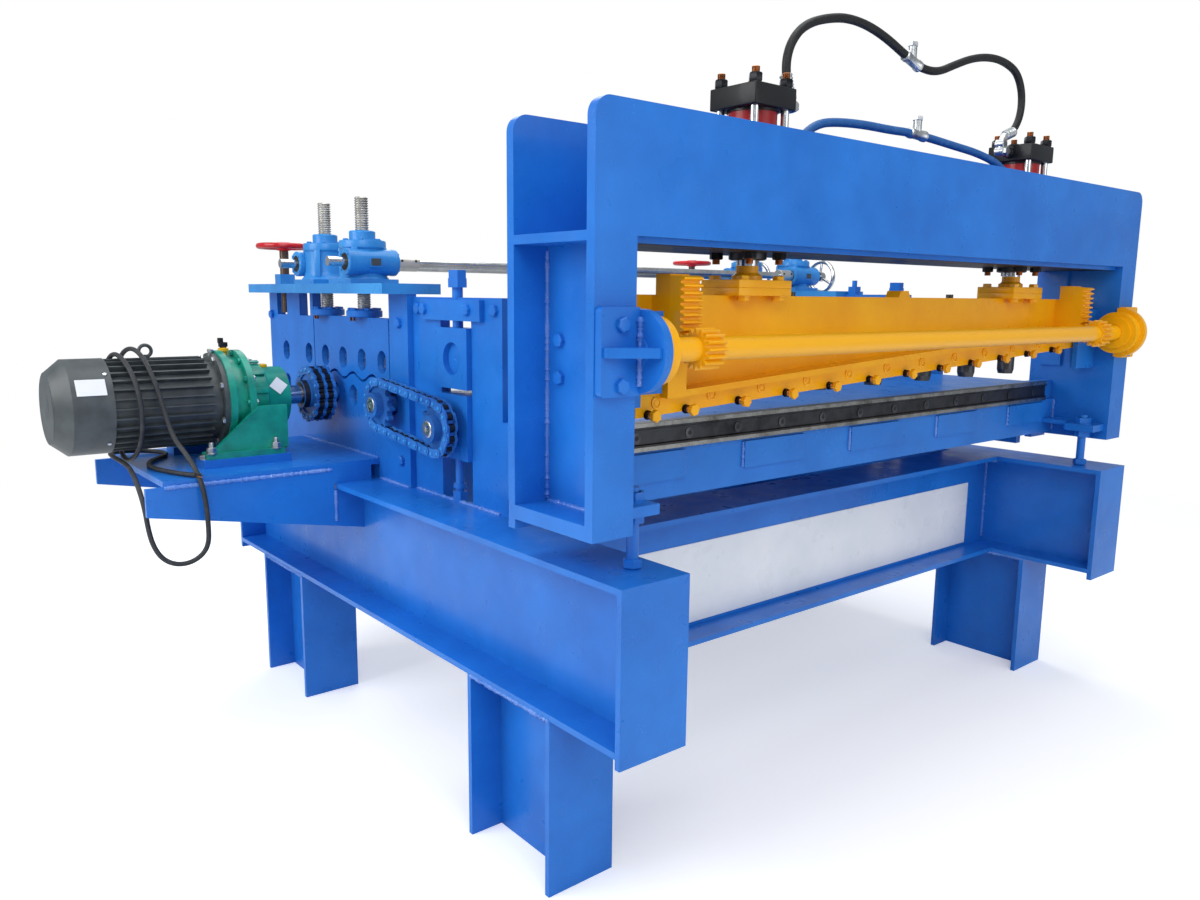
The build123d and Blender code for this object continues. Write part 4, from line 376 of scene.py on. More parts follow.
FINISHES = {**paints(), **metals(), **covers()}
NODE_FINISH = {
    "blue": ["side_frame_left", "side_frame_right", "cross_beam_front", "cross_beam_rear",
             "portal_front_plate", "portal_rear_plate", "portal_column_left", "portal_column_right",
             "cylinder_deck", "shaft_bracket_left", "leveller_wall_left", "leveller_wall_right",
             "pinch_wall_left", "pinch_wall_right", "sill", "motor_platform", "base_bars",
             "roll_seat_left", "roll_seat_right", "pinch_blocks_left", "pinch_blocks_right",
             "levelling_studs"],
    "sky": ["jack_station_left", "jack_station_right"],
    "yellow": ["shaft_bracket_right", "shaft_bearings", "knife_beam"],
    "pinion": ["racks", "sync_shaft"],
    "wheel": ["entry_wheel_left", "entry_wheel_right"],
    "white": ["name_plate"],
    "ground": ["upper_knife"],
    "dark knife": ["lower_knife"],
    "turned": ["upper_rolls", "lower_rolls", "pinch_rolls"],
    "rod": ["piston_rods"],
    "shaft": ["cross_shaft_front", "cross_shaft_rear", "jack_screws"],
    "dark steel": ["hold_downs"],
    "chain": ["drive_chain"],
    "coupling": ["chain_coupling"],
    "sprocket": ["drive_sprockets"],
    "motor": ["motor"],
    "green": ["reducer"],
}


# Modelling helpers


def clear():
    """Leave edit mode and deselect everything."""
    if bpy.context.object and bpy.context.object.mode != "OBJECT":
        bpy.ops.object.mode_set(mode="OBJECT")
    bpy.ops.object.select_all(action="DESELECT")


def finish_mesh(obj, finish, sharp=35.0):
    """Merge doubles, point the faces outwards, smooth under an angle and give the finish."""
    bpy.ops.mesh.select_all(action="SELECT")
    bpy.ops.mesh.remove_doubles(threshold=1e-6)
    bpy.ops.mesh.normals_make_consistent(inside=False)
    bpy.ops.object.mode_set(mode="OBJECT")
    bpy.ops.object.shade_smooth_by_angle(angle=math.radians(sharp))
    obj.data.materials.clear()
    obj.data.materials.append(FINISHES[finish])
    return obj


def turned(profile, finish, sides=28, sharp=35.0):
    """Turn a profile of (radius, height) rings in millimetres: a circle extruded ring by ring."""
    clear()
    radius, height = profile[0]
    bpy.ops.mesh.primitive_circle_add(vertices=sides, radius=radius / 1000, fill_type="NGON",
                                      location=(0, 0, height / 1000))
    obj = bpy.context.object
    bpy.ops.object.transform_apply(location=True, rotation=True, scale=True)
    bpy.ops.object.mode_set(mode="EDIT")
    bpy.ops.mesh.select_all(action="SELECT")
    for r, h in profile[1:]:
        bpy.ops.mesh.extrude_region_move(TRANSFORM_OT_translate={"value": (0, 0, (h - height) / 1000)})
        ratio = r / radius
        if abs(ratio - 1) > 1e-6:
            bpy.ops.transform.resize(value=(ratio, ratio, 1), center_override=(0, 0, h / 1000))
        radius, height = r, h
    return finish_mesh(obj, finish, sharp)


def slab(x, y, z, finish, edge=1.5, steps=2):
    """A flat-sided piece of that size in millimetres about the origin, its edges rounded."""
    clear()
    bpy.ops.mesh.primitive_cube_add(size=1, location=(0, 0, 0))
    obj = bpy.context.object
    obj.scale = (x / 1000, y / 1000, z / 1000)
    bpy.ops.object.transform_apply(location=True, rotation=True, scale=True)
    bpy.ops.object.mode_set(mode="EDIT")
    bpy.ops.mesh.select_all(action="SELECT")
    bpy.ops.mesh.bevel(offset=edge / 1000, segments=steps)
    return finish_mesh(obj, finish)


def joined(objects):
    """Join finished objects into the first."""
    clear()
    for obj in objects:
        obj.select_set(True)
    bpy.context.view_layer.objects.active = objects[0]
    if len(objects) > 1:
        bpy.ops.object.join()
    return objects[0]


def facing(point, direction=(0, 0, 1), turn=0.0):
    """Matrix that stands a piece modelled along +Z on a point, along a direction."""
    tilt = Vector((0, 0, 1)).rotation_difference(Vector(direction)).to_matrix().to_4x4()
    return Matrix.Translation(at(*point)) @ tilt @ Matrix.Rotation(turn, 4, "Z")


def copied(original, places):
    """Copy a finished piece to each place, each copy with its own mesh, and join the copies."""
    made = []
    for matrix in places:
        copy = original.copy()
        copy.data = original.data.copy()
        bpy.context.collection.objects.link(copy)
        copy.data.transform(matrix)
        made.append(copy)
    bpy.data.objects.remove(original)
    return joined(made)


def moved(obj, matrix):
    """Carry a finished piece's mesh to its place."""
    obj.data.transform(matrix)
    return obj


def put(obj, point, direction=(0, 0, 1), turn=0.0):
    """Carry a finished piece modelled along +Z to a point, along a direction."""
    return moved(obj, facing(point, direction, turn))


def wall_side(s, x):
    """Place across the machine of a distance from the centre line, at the near (-1) or far (1) wall."""
    return s * x + (FAR_SHIFT if s > 0 else 0)


def circle(count, radius, start=0.0):
    """Places evenly round a circle: two offsets in millimetres, and the angle."""
    angles = [2 * math.pi / count * k + start for k in range(count)]
    return [(radius * math.cos(a), radius * math.sin(a), a) for a in angles]


def on_axis(x, along=0.0, up=0.0):
    """A point on the motor's axis, or offset from it."""
    return (x, MOTOR_Y + along, MOTOR_Z + up)


def ride(obj, name, body="frame"):
    """Name a finished piece and let it ride on its body."""
    obj.name = name
    obj.data.name = name
    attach(obj, body)
    return obj


def bolt(d, finish="zinc", washer=True):
    """Hexagon bolt head with a chamfered crown and a washer, standing on z = 0."""
    height = 0.65 * d
    base = 0.16 * d if washer else 0.0
    across = 0.93 * d
    parts = [turned([(across, base), (across, base + 0.8 * height), (0.84 * across, base + height),
                     (0.5 * across, base + height + 0.02 * d)], finish, sides=6)]
    if washer:
        parts.append(turned([(1.12 * d, 0), (1.12 * d, 0.12 * d), (1.05 * d, 0.16 * d)], finish, 20))
    return joined(parts)


def thread(d, length, pitch, finish, sides=20, depth=0.4):
    """Threaded stud from z = 0 up, its crests and roots turned ring by ring."""
    turns = max(2, int(length / pitch))
    crest, root = d / 2, d / 2 - depth * pitch
    profile = [(root, 0)]
    for k in range(turns):
        z = k * pitch
        profile += [(crest, z + 0.4 * pitch), (crest, z + 0.55 * pitch), (root, z + pitch)]
    return turned(profile, finish, sides, sharp=25.0)


def nut(d, finish="zinc", height=None):
    """Hexagon nut chamfered on both faces, standing on z = 0."""
    h = height or 0.8 * d
    r = 0.93 * d
    return turned([(0.86 * r, 0), (r, 0.14 * h), (r, 0.86 * h), (0.86 * r, h)], finish, sides=6)


BEAD_STEP = 6.0


def weld_bead(length, width, seed):
    """A fillet weld laid along +Z: overlapping ripples a few millimetres apart, a little uneven."""
    dice = random.Random(seed)
    profile = [(0.3 * width, 0)]
    z = 0.0
    while z < length - BEAD_STEP:
        full = width / 2 * dice.uniform(0.72, 1.25)
        profile += [(full, z + 0.35 * BEAD_STEP), (0.72 * full, z + BEAD_STEP)]
        z += BEAD_STEP
    profile.append((0.3 * width, length))
    return turned(profile, "weld", sides=8, sharp=80.0)


def welds(lines, name, width):
    """Weld beads along lines, given as pairs of points."""
    made = []
    for k, (a, b) in enumerate(lines):
        start, end = Vector(a), Vector(b)
        bead = weld_bead((end - start).length, width, k + 7)
        made.append(put(bead, a, end - start, 0.3 * k))
    return ride(joined(made), name)


def cord_curve(name, points, steps):
    """A smooth curve object with the route's points as its control points."""
    curve = bpy.data.curves.new(name, "CURVE")
    curve.dimensions = "3D"
    spline = curve.splines.new("NURBS")
    spline.points.add(len(points) - 1)
    for point, place in zip(spline.points, points):
        point.co = (*at(*place), 1.0)
    spline.order_u = 3
    spline.use_endpoint_u = True
    curve.resolution_u = steps
    return bpy.data.objects.new(name, curve)


def cord_line(name, points, diameter, finish):
    """A cord through the route's points: a NURBS curve of that diameter."""
    obj = cord_curve(name, points, 8)
    obj.data.bevel_depth = diameter / 2000
    obj.data.bevel_resolution = 5
    obj.data.use_fill_caps = True
    obj.data.materials.append(FINISHES[finish])
    bpy.context.collection.objects.link(obj)
    return obj


def route_length(points):
    """Length in metres of the smooth line through a route's points."""
    obj = cord_curve("measure", points, 12)
    mesh = bpy.data.meshes.new_from_object(obj)
    corners = [v.co.copy() for v in mesh.vertices]
    bpy.data.objects.remove(obj)
    bpy.data.meshes.remove(mesh)
    return sum((b - a).length for a, b in zip(corners, corners[1:]))


# Settings


class MachineSettings(bpy.types.PropertyGroup):
    """Sizes and colours that a user may want to change."""

    bolt_size: bpy.props.FloatProperty(
        name="Plate bolts", description="Thread size of the bolts in the walls and portal, in mm",
        default=14.0, min=6.0, max=30.0)
    weld_width: bpy.props.FloatProperty(
        name="Weld width", description="Width of the fillet welds, in mm", default=11.0, min=3.0, max=16.0)
    hose_size: bpy.props.FloatProperty(
        name="Hose", description="Outer diameter of the hydraulic hoses, in mm",
        default=18.0, min=10.0, max=30.0)
    cable_size: bpy.props.FloatProperty(
        name="Cable", description="Outer diameter of the motor cable, in mm", default=11.0, min=6.0, max=20.0)
    floor_colour: bpy.props.FloatVectorProperty(
        name="Floor", description="Colour of the plain floor", subtype="COLOR", size=4,
        default=(0.93, 0.93, 0.93, 1.0), min=0.0, max=1.0)


def settings():
    """The scene's settings of this machine."""
    return bpy.context.scene.machine_settings


class MACHINE_OT_camera(bpy.types.Operator):
    """Stand the camera where the photograph was taken from"""
    bl_idname = "machine.camera"
    bl_label = "Camera"

    def execute(self, context):
        # Fitted to straight edges in the photograph: angles in radians, focal length in its pixels
        yaw, pitch, roll = -0.69025995, -0.16217934, 0.01014802
        focal, photo_width = 943.359, 1200
        ahead = Vector((-math.sin(yaw) * math.cos(pitch), math.cos(yaw) * math.cos(pitch), math.sin(pitch)))
        level = Vector((math.cos(yaw), math.sin(yaw), 0))
        above = level.cross(ahead)
        right = math.cos(roll) * level + math.sin(roll) * above
        up = -math.sin(roll) * level + math.cos(roll) * above
        lens = bpy.data.cameras.new("camera")
        lens.sensor_width = 36
        lens.lens = lens.sensor_width * focal / photo_width
        camera = bpy.data.objects.new("camera", lens)
        context.collection.objects.link(camera)
        spot = at(-1934.566, -1113.716, 1128.203)
        camera.matrix_world = Matrix(((right.x, up.x, -ahead.x, spot.x), (right.y, up.y, -ahead.y, spot.y),
                                      (right.z, up.z, -ahead.z, spot.z), (0, 0, 0, 1)))
        context.scene.camera = camera
        return {"FINISHED"}


class MACHINE_OT_cords(bpy.types.Operator):
    """Two hydraulic hoses over the cylinders and the loose cable of the motor"""
    bl_idname = "machine.cords"
    bl_label = "Hoses and cable"

    def execute(self, context):
        for name, route, finish, node in (("black_hose", BLACK_HOSE, "hose black", "hose_black"),
                                          ("blue_hose", BLUE_HOSE, "hose blue", "hose_blue")):
            line = cord_line(name, route, settings().hose_size, finish)
            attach(line, "frame")
            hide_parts(node)
            fittings = self.fittings(name, route)
            route_length(route)
        cable = cord_line("supply_cable", CABLE_ROUTE, settings().cable_size, "cable")
        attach(cable, "frame")
        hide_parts("motor_cable")
        gland = self.gland()
        wires = self.wires()
        route_length(CABLE_ROUTE)
        return {"FINISHED"}

    def fittings(self, name, route):
        """Crimped sleeves, elbows, banjo bolts and the capped tee of one hose."""
        parts = []
        d = settings().hose_size
        crimp = [(0.56 * d, 0), (0.72 * d, 2)]
        for k in range(5):
            z = 6 + 6 * k
            crimp += [(0.72 * d, z), (0.66 * d, z + 1), (0.66 * d, z + 3), (0.72 * d, z + 4)]
        crimp += [(0.72 * d, 37), (0.54 * d, 40)]
        for end, beyond, side in ((0, 1, -1), (-1, -2, 1)):
            start, after = Vector(route[end]), Vector(route[beyond])
            port = Vector((side * PORT_X, CYL_Y, HIGH_PORT if name == "black_hose" else LOW_PORT))
            knee = port + Vector((0, 0, 18))
            elbow = knee - start
            parts.append(put(turned(crimp, "zinc", 24), start, after - start))
            parts.append(put(turned([(10, 0), (10, elbow.length)], "zinc", 20), start, elbow))
            parts.append(put(turned([(9.5, 0), (9.5, 18)], "zinc", 20), port))
            for spot, r in ((knee, 11.6), (port, 11.9)):
                banjo = turned([(r - 2, -12), (r, -10), (r, 10), (r - 2, 12)], "zinc", 24)
                parts.append(put(banjo, spot, (0, 1, 0)))
            parts.append(put(nut(12, "zinc", 8), port + Vector((0, -20, 0)), (0, 1, 0)))
        # The tee sits in the middle of a span of the black hose, and early in one of the blue hose
        k, share = (9, 0.5) if name == "black_hose" else (8, 0.3)
        a, b = Vector(route[k]), Vector(route[k + 1])
        centre = a * (1 - share) + b * share
        sleeve = turned([(10, -31), (12.4, -29), (12.4, -20), (11, -18), (11, 18), (12.4, 20), (12.4, 29),
                         (10, 31)], "zinc", 24)
        parts.append(put(sleeve, centre, (b - a).normalized()))
        parts.append(put(turned([(9.6, 0), (9.6, 30)], "zinc", 20), centre))
        parts.append(put(nut(13, "zinc", 10), centre + Vector((0, 0, 30))))
        return ride(joined(parts), name + "_fittings")

    def gland(self):
        """Gland and tapered strain relief where the cable leaves the terminal box."""
        x, y, z = CABLE_ROUTE[0]
        body = turned([(11, 0), (11, 7), (10, 8), (9.5, 16), (8, 20), (7.4, 30), (6.4, 46)], "cable", 24)
        collar = turned([(12.4, 0), (12.4, 6), (11.6, 7)], "cable", 6)
        return ride(joined([put(part, (x + 14, y, z), LEFT) for part in (body, collar)]), "cable_gland")

    def wires(self):
        """Stripped cores at the cable's free end."""
        end, before = Vector(CABLE_ROUTE[-1]), Vector(CABLE_ROUTE[-2])
        run = (end - before).normalized()
        parts = []
        for k, (across, up, _) in enumerate(circle(4, 1.0)):
            off = Vector((across, 0, up))
            core = turned([(1.6, -2), (1.6, 14), (1.0, 14.5), (0.9, 20), (0.5, 20.5)],
                          "copper" if k == 3 else "cable", 10)
            parts.append(put(core, end + 2.2 * off, run + 0.12 * off))
        return ride(joined(parts), "cable_cores")


class MACHINE_OT_finishes(bpy.types.Operator):
    """Give each solid of the frame its finish"""
    bl_idname = "machine.finishes"
    bl_label = "Finishes"

    def execute(self, context):
        for finish, names in NODE_FINISH.items():
            for name in names:
                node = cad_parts[name]
                for slot in node.material_slots:
                    slot.material = FINISHES[finish]
                if not node.material_slots:
                    node.data.materials.append(FINISHES[finish])
        return {"FINISHED"}


class MACHINE_OT_cylinders(bpy.types.Operator):
    """Tie-rod hydraulic cylinders: black caps, red barrel, chromed tie rods and ports"""
    bl_idname = "machine.cylinders"
    bl_label = "Hydraulic cylinders"

    def execute(self, context):
        for side, name in ((-1, "cylinder_left"), (1, "cylinder_right")):
            x = side * CYL_X
            low = DECK_TOP + CAP
            top = low + BARREL + CAP
            parts = []
            for z in (LOW_PORT, HIGH_PORT):
                parts.append(put(slab(116, 116, CAP, "cap black", 2.5, 3), (x, CYL_Y, z)))
            parts.append(put(turned([(47, 0), (47, BARREL)], "barrel red", 48), (x, CYL_Y, low)))
            for z in (low, low + BARREL - 5):
                parts.append(put(turned([(49, 0), (49, 5)], "cap black", 48), (x, CYL_Y, z)))
            corners = [(x + dx, CYL_Y + dy) for dx in (-TIE_ROD, TIE_ROD) for dy in (-TIE_ROD, TIE_ROD)]
            rod = turned([(8, 0), (8, BARREL)], "chrome", 20)
            parts.append(copied(rod, [facing((cx, cy, low)) for cx, cy in corners]))
            tops = [(cx, cy, top) for cx, cy in corners]
            parts.append(copied(nut(14.5, "black oxide", 17), [facing(spot, turn=0.3) for spot in tops]))
            parts.append(copied(thread(15.5, 28, 2.0, "copper", 18), [facing(spot) for spot in tops]))
            for z in (LOW_PORT, HIGH_PORT):
                inner = x - side * 58
                port = turned([(13, 0), (13, 8), (11, 9), (11, 34)], "cap black", 24)
                parts.append(put(port, (inner, CYL_Y, z), (-side, 0, 0)))
                parts.append(put(nut(13.5, "zinc", 12), (inner - side * 14, CYL_Y, z), (-side, 0, 0)))
            gland = turned([(30, 0), (30, 6), (26, 8)], "cap black", 32)
            parts.append(put(gland, (x, CYL_Y, DECK_TOP)))
            piece = joined(parts)
            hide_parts(name)
            ride(piece, name + "_dressed")
        return {"FINISHED"}


class MACHINE_OT_rods(bpy.types.Operator):
    """Piston rods with sprayed lower ends, flange bolts and gland nuts under the deck"""
    bl_idname = "machine.rods"
    bl_label = "Piston rods"

    def execute(self, context):
        made, heads, below, hanging = [], [], [], []
        for x in (-CYL_X, CYL_X):
            for z in (1138.5, 1153.5):
                made.append(put(slab(152, 100, 15, "yellow", 1.0), (x, CYL_Y, z)))
            collar = turned([(30, 1161), (30, 1169), (25, 1172), (22.2, 1175), (22.2, 1188)], "yellow", 40)
            rod = turned([(22, 1160), (22, 1440), (39.5, 1440), (39.5, 1468)], "rod", 40)
            made += [put(collar, (x, CYL_Y, 0)), put(rod, (x, CYL_Y, 0))]
            for dx in (-FLANGE_BOLT, FLANGE_BOLT):
                heads += [facing((x + dx, CYL_Y + dy, ROD_FLANGE_TOP)) for dy in (-37, 37)]
                below.append(facing((x + dx, 118, 1131), DOWN))
            for dx in (-TIE_ROD, TIE_ROD):
                hanging += [facing((x + dx, CYL_Y + dy, DECK_BOTTOM), DOWN) for dy in (-TIE_ROD, TIE_ROD)]
        rods = joined(made)
        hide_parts("piston_rods")
        ride(rods, "piston_rods_dressed", "knife")
        ride(copied(bolt(13, "pinion", False), heads), "rod_flange_bolts", "knife")
        ride(copied(bolt(13, "pinion"), below), "rod_flange_nuts", "knife")
        ride(copied(nut(14.5, "black oxide", 13), hanging), "deck_nuts")
        ride(copied(thread(15.5, 23, 2.0, "copper", 18), hanging), "deck_studs")
        # A thin black sheet of painted shade just under the deck
        shade = put(slab(1822, 198, 0.8, "under_deck_shade", 0.3, 1), (0, 156, DECK_BOTTOM - 0.4))
        ride(shade, "deck_underside_painted_shade")
        gland = turned([(37, 0), (37, 12), (33, 14)], "dark steel", 36)
        ride(copied(gland, [facing((x, CYL_Y, DECK_BOTTOM), DOWN) for x in (-CYL_X, CYL_X)]), "rod_glands")
        return {"FINISHED"}


class MACHINE_OT_plate_bolts(bpy.types.Operator):
    """Bolts of the portal, brackets, walls and pinch stand"""
    bl_idname = "machine.plate_bolts"
    bl_label = "Plate bolts"

    def execute(self, context):
        d = settings().bolt_size
        far = WALL_X + FAR_SHIFT
        # The near portal column and the bracket plates, then the leveller's and the pinch stand's walls
        spots = [((-928, 218, z), LEFT) for z in (1050, 984)]
        spots += [((s * 956, 20, z), FRONT) for s in (-1, 1) for z in (1083, 986)]
        spots += [((-WALL_X, 1800, 1062), LEFT), ((-WALL_X, 975, 1058), LEFT),
                  ((-WALL_X, 1800, 720), LEFT), ((-WALL_X, 975, 720), LEFT)]
        spots += [((x, y, 1094), LEFT) for x, y in ((-842, 856), (-842, 667), (-830, 904), (-830, 576))]
        spots += [((far, 1800, 1062), RIGHT), ((far, 975, 1058), RIGHT)]
        spots += [((842 + FAR_SHIFT, y, 1094), RIGHT) for y in (856, 667)]
        heads = [facing(spot, way, 0.4 * k) for k, (spot, way) in enumerate(spots)]
        ride(copied(bolt(d, "blue", False), heads), "plate_bolts")
        flange = []
        for s in (-1, 1):
            x = wall_side(s, JACK_X)
            for y in JACK_YS:
                flange += [facing((x + across, y + along, JACK_FOOT), turn=k)
                           for k, (across, along, _) in enumerate(circle(6, 36, 0.3))]
        end = moved(thread(7, 10, 2.0, "copper", 12), Matrix.Translation((0, 0, -0.028)))
        bolts = joined([bolt(9, "blue", False), end])
        ride(copied(bolts, flange), "seat_flange_bolts", "roll_lift")
        return {"FINISHED"}


class MACHINE_OT_knife_bolts(bpy.types.Operator):
    """Two rows of bolts in the raked knife holder and the screws of the lower knife"""
    bl_idname = "machine.knife_bolts"
    bl_label = "Knife bolts"

    def execute(self, context):
        # Each row starts at the left, and climbs with the holder's rake
        pitch = 140.4
        upper = [-797 + pitch * k for k in range(12)]
        lower = [-817] + [-723 + pitch * k for k in range(11)]
        ring = joined([turned([(11, 0), (11, 2.2), (8.4, 3), (7.6, 1.2)], "yellow", 24),
                       turned([(5.4, 1.2), (5.4, 2.2), (3.4, 2.6)], "yellow", 6)])
        places = [facing((x, HOLDER_FACE, 941 + RAKE * (x + 797)), FRONT, k) for k, x in enumerate(upper)]
        ride(copied(ring, places), "holder_bolts", "knife")
        parts = [turned([(8.6, 0), (8.6, 2)], "black oxide", 24),
                 moved(nut(8.6, "black oxide", 8), Matrix.Translation((0, 0, 0.002))),
                 moved(thread(13, 12, 2.0, "copper", 16), Matrix.Translation((0, 0, 0.009))),
                 moved(nut(12.5, "yellow", 10), Matrix.Translation((0, 0, 0.017)))]
        places = [facing((x, HOLDER_FACE, 921 + RAKE * (x + 817)), FRONT, 0.7 * k)
                  for k, x in enumerate(lower)]
        ride(copied(joined(parts), places), "holder_studs", "knife")
        screw = joined([turned([(11, 0), (11, 0.8), (9.5, 1.2)], "dark steel", 24),
                        turned([(5.0, 1.2), (5.0, 1.5)], "cap black", 6)])
        rows = [facing((-770 + 140 * k, 190.4, 864.5), FRONT, k) for k in range(12)]
        ride(copied(screw, rows), "lower_knife_screws")
        return {"FINISHED"}


class MACHINE_OT_lower_knife_edges(bpy.types.Operator):
    """Bright ground strips along the top and bottom of the lower knife"""
    bl_idname = "machine.lower_knife_edges"
    bl_label = "Ground knife edges"

    def execute(self, context):
        strips = [put(slab(1679, 1.2, 8.6, "ground", 0.4, 1), (0, 186.9, z)) for z in (888.6, 842.4)]
        ride(joined(strips), "knife_edge_strips")
        return {"FINISHED"}


class MACHINE_OT_threads(bpy.types.Operator):
    """Screw threads of the jacks and the levelling studs"""
    bl_idname = "machine.threads"
    bl_label = "Threads"

    def execute(self, context):
        places = [facing((wall_side(s, JACK_X), y, 0)) for s in (-1, 1) for y in JACK_YS]
        flange = turned([(44, 1067), (46, 1069), (46, 1083), (44, 1085)], "blue", 48)
        boss = turned([(26, 1085), (25, 1088), (20, 1089.5)], "blue", 32)
        low, high = [moved(thread(34.8, length, 6.0, "cut thread", 40, 0.42), Matrix.Translation((0, 0, z)))
                     for length, z in ((150, 1.085), (120, 1.25))]
        stem = turned([(16, 1230), (16, 1252)], "cut thread", 28)
        screws = copied(joined([flange, boss, low, high, stem]), places)
        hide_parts("jack_screws")
        ride(screws, "jack_screws_dressed", "roll_lift")
        parts = []
        for x in (-STUD_X, STUD_X):
            parts.append(put(thread(22, 126, 2.5, "blue", 24), (x, STUD_Y, BEAM_TOP)))
            for z in (BEAM_TOP + 1, STUD_NUT):
                parts.append(put(nut(19.4, "blue", 17), (x, STUD_Y, z), turn=0.4))
            parts.append(put(turned([(22, 0), (22, 3)], "blue", 28), (x, STUD_Y, STUD_NUT - 1)))
        ride(joined(parts), "stud_threads")
        return {"FINISHED"}


class MACHINE_OT_jacks(bpy.types.Operator):
    """Worm jack housings with a flared skirt, ribs, cover plate, cap screws and shaft couplings"""
    bl_idname = "machine.jacks"
    bl_label = "Worm jacks"

    def execute(self, context):
        made, screws, small = [], [], []
        # Keyed by the worm's side of its jack: -1 on the front shaft, 1 on the rear one
        sleeves, pins = {-1: [], 1: []}, {-1: [], 1: []}
        for s in (-1, 1):
            x, inner = wall_side(s, JACK_X), wall_side(s, JACK_X - 68.5)
            for y, d in zip(JACK_YS, (-1, 1)):
                worm = y + d * WORM_OFFSET
                made += self.housing(x, y, worm, d)
                screws += [facing((x + across, y + along, 1261)) for across, along, _ in circle(6, 46)]
                small += [facing((x + end * JACK_HALF, worm + along, WORM_Z + up), (end, 0, 0))
                          for along, up, _ in circle(4, 28, math.pi / 4) for end in (-1, 1)]
                pins[d] += [facing((inner - s * k, worm, WORM_Z), (0, -1, 0.3)) for k in (12, 52)]
                sleeve = turned([(19, 0), (20.6, 1.5), (20.6, 62), (19, 63.5)], "sleeve", 32)
                sleeves[d].append(put(sleeve, (inner, worm, WORM_Z), (-s, 0, 0)))
        ride(joined(made), "jack_housings")
        ride(joined([copied(bolt(7, "sky", False), screws), copied(bolt(4, "sky", False), small)]),
             "jack_screws_small")
        ride(joined(sleeves[-1]), "front_couplings", "front_shaft")
        ride(joined(sleeves[1]), "rear_couplings", "rear_shaft")
        for d, row in ((-1, "front"), (1, "rear")):
            pin = turned([(3.4, 14), (3.4, 21.5), (2.8, 22)], "black oxide", 12)
            ride(copied(pin, pins[d]), row + "_coupling_pins", row + "_shaft")
        return {"FINISHED"}

    def housing(self, x, y, worm, d):
        """Parts of one jack: skirt, ribs, worm tube, cover plate, bare label and shaft seals."""
        skirt = turned([(65, 1164), (64, 1167), (59, 1172), (56, 1184), (55, 1238), (59, 1243), (59, 1258),
                        (57, 1261), (34, 1262), (33, 1266), (33, 1283), (31, 1285.5)], "sky", 48)
        corners = [facing((x, y, WORM_Z), turn=math.pi / 4 + k * math.pi / 2)
                   @ Matrix.Translation((0.057, 0, 0)) for k in range(4)]
        ribs = copied(slab(9, 16, 74, "sky", 1.5), corners)
        tube = turned([(32, -69), (33.6, -67), (33.6, -58), (31, -56), (31, 56), (33.6, 58), (33.6, 67),
                       (32, 69)], "sky", 36)
        parts = [put(skirt, (x, y, 0)), ribs, put(tube, (x, worm, WORM_Z), RIGHT)]
        parts.append(put(slab(34, 3, 26, "sky", 1.0), (x, worm + d * 33.5, WORM_Z)))
        parts.append(put(slab(27, 1, 18, "motor", 0.3, 1), (x, worm + d * 35.2, WORM_Z)))
        for end in (-1, 1):
            seal = turned([(22, 0), (21, 1.0), (14, 1.0)], "cap black", 32)
            parts.append(put(seal, (x + end * JACK_HALF, worm, WORM_Z), (end, 0, 0)))
        return parts


class MACHINE_OT_weld_seams(bpy.types.Operator):
    """Fillet welds that show on the base, portal, platform and sill"""
    bl_idname = "machine.weld_seams"
    bl_label = "Weld seams"

    def execute(self, context):
        w = settings().weld_width
        # Edges and feet of the columns, and the front plate's upper corners
        portal = []
        for s in (-1, 1):
            portal += [((s * 928.5, y, 760), (s * 928.5, y, 1205)) for y in (57, 255)]
            portal += [((s * 929, 60, 757.5), (s * 929, 252, 757.5)),
                       ((s * 911, 88, 750), (s * 911, 124, 750)),
                       ((s * 990, 58, 1212), (s * 940, 58, 1212))]
        welds(portal, "portal_welds", w)
        welds([((s * 920, 17, 984), (s * 920, 17, 1096)) for s in (-1, 1)], "bracket_welds", 1.15 * w)
        cap = turned([(27, 0), (27, 1.0), (25, 1.8)], "blue", 40)
        ends = [facing((s * BRACKET_X, SHAFT_Y, SHAFT_Z), (s, 0, 0)) for s in (-1, 1)]
        ride(copied(cap, ends), "bracket_caps")
        bore = turned([(32.0, 0), (32.0, 1.6), (30.0, 2.2), (5, 2.2), (4, 1.4)], "blue", 40)
        ends = [facing((s * PINCH_X, PINCH_Y, PINCH_Z), (s, 0, 0)) for s in (-1, 1)]
        ride(copied(bore, ends), "pinch_caps")
        # Webs and top flanges of the two cross beams, then the tops of the legs
        for s, name in ((-1, "left_base_welds"), (1, "right_base_welds")):
            base = []
            for y in (382, 1330):
                for d in (-1, 1):
                    base.append(((s * 884, y + d * 5, 380), (s * 884, y + d * 5, 636)))
                    base.append(((s * 811, y + d * 78, 643), (s * 811, y - d * 78, 643)))
            base += [((s * x, y - 140, 354), (s * x, y + 140, 354)) for y in (340, 1490) for x in (963, 813)]
            welds(base, name, w)
        # Feet of the walls, then the motor platform and its gusset
        far = WALL_X + FAR_SHIFT + 1
        walls = [((-846, 940, 657), (-846, 1095, 657)), ((-846, 1600, 657), (-846, 1812, 657)),
                 ((-846, 1104, 709), (-846, 1586, 709)), ((-831, 560, 657), (-831, 925, 657)),
                 ((far, 940, 657), (far, 1812, 657)),
                 ((-967, 1099, 560), (-967, 1099, 640)), ((-967, 1113, 560), (-967, 1113, 640)),
                 ((-1370, 1099, 693), (-975, 1099, 693))]
        welds(walls, "wall_welds", w)
        # Both edges of the five pads under the lower knife, and the sill's ends
        edges = [(k - 2) * 368 + half for k in range(5) for half in (-98.5, 98.5)]
        pads = [((x, 195.5, 777), (x, 195.5, 831)) for x in edges]
        pads += [((-911, 198, 745), (-911, 198, 835)), ((911, 196, 745), (911, 196, 835))]
        welds(pads, "sill_welds", w * 0.8)
        return {"FINISHED"}


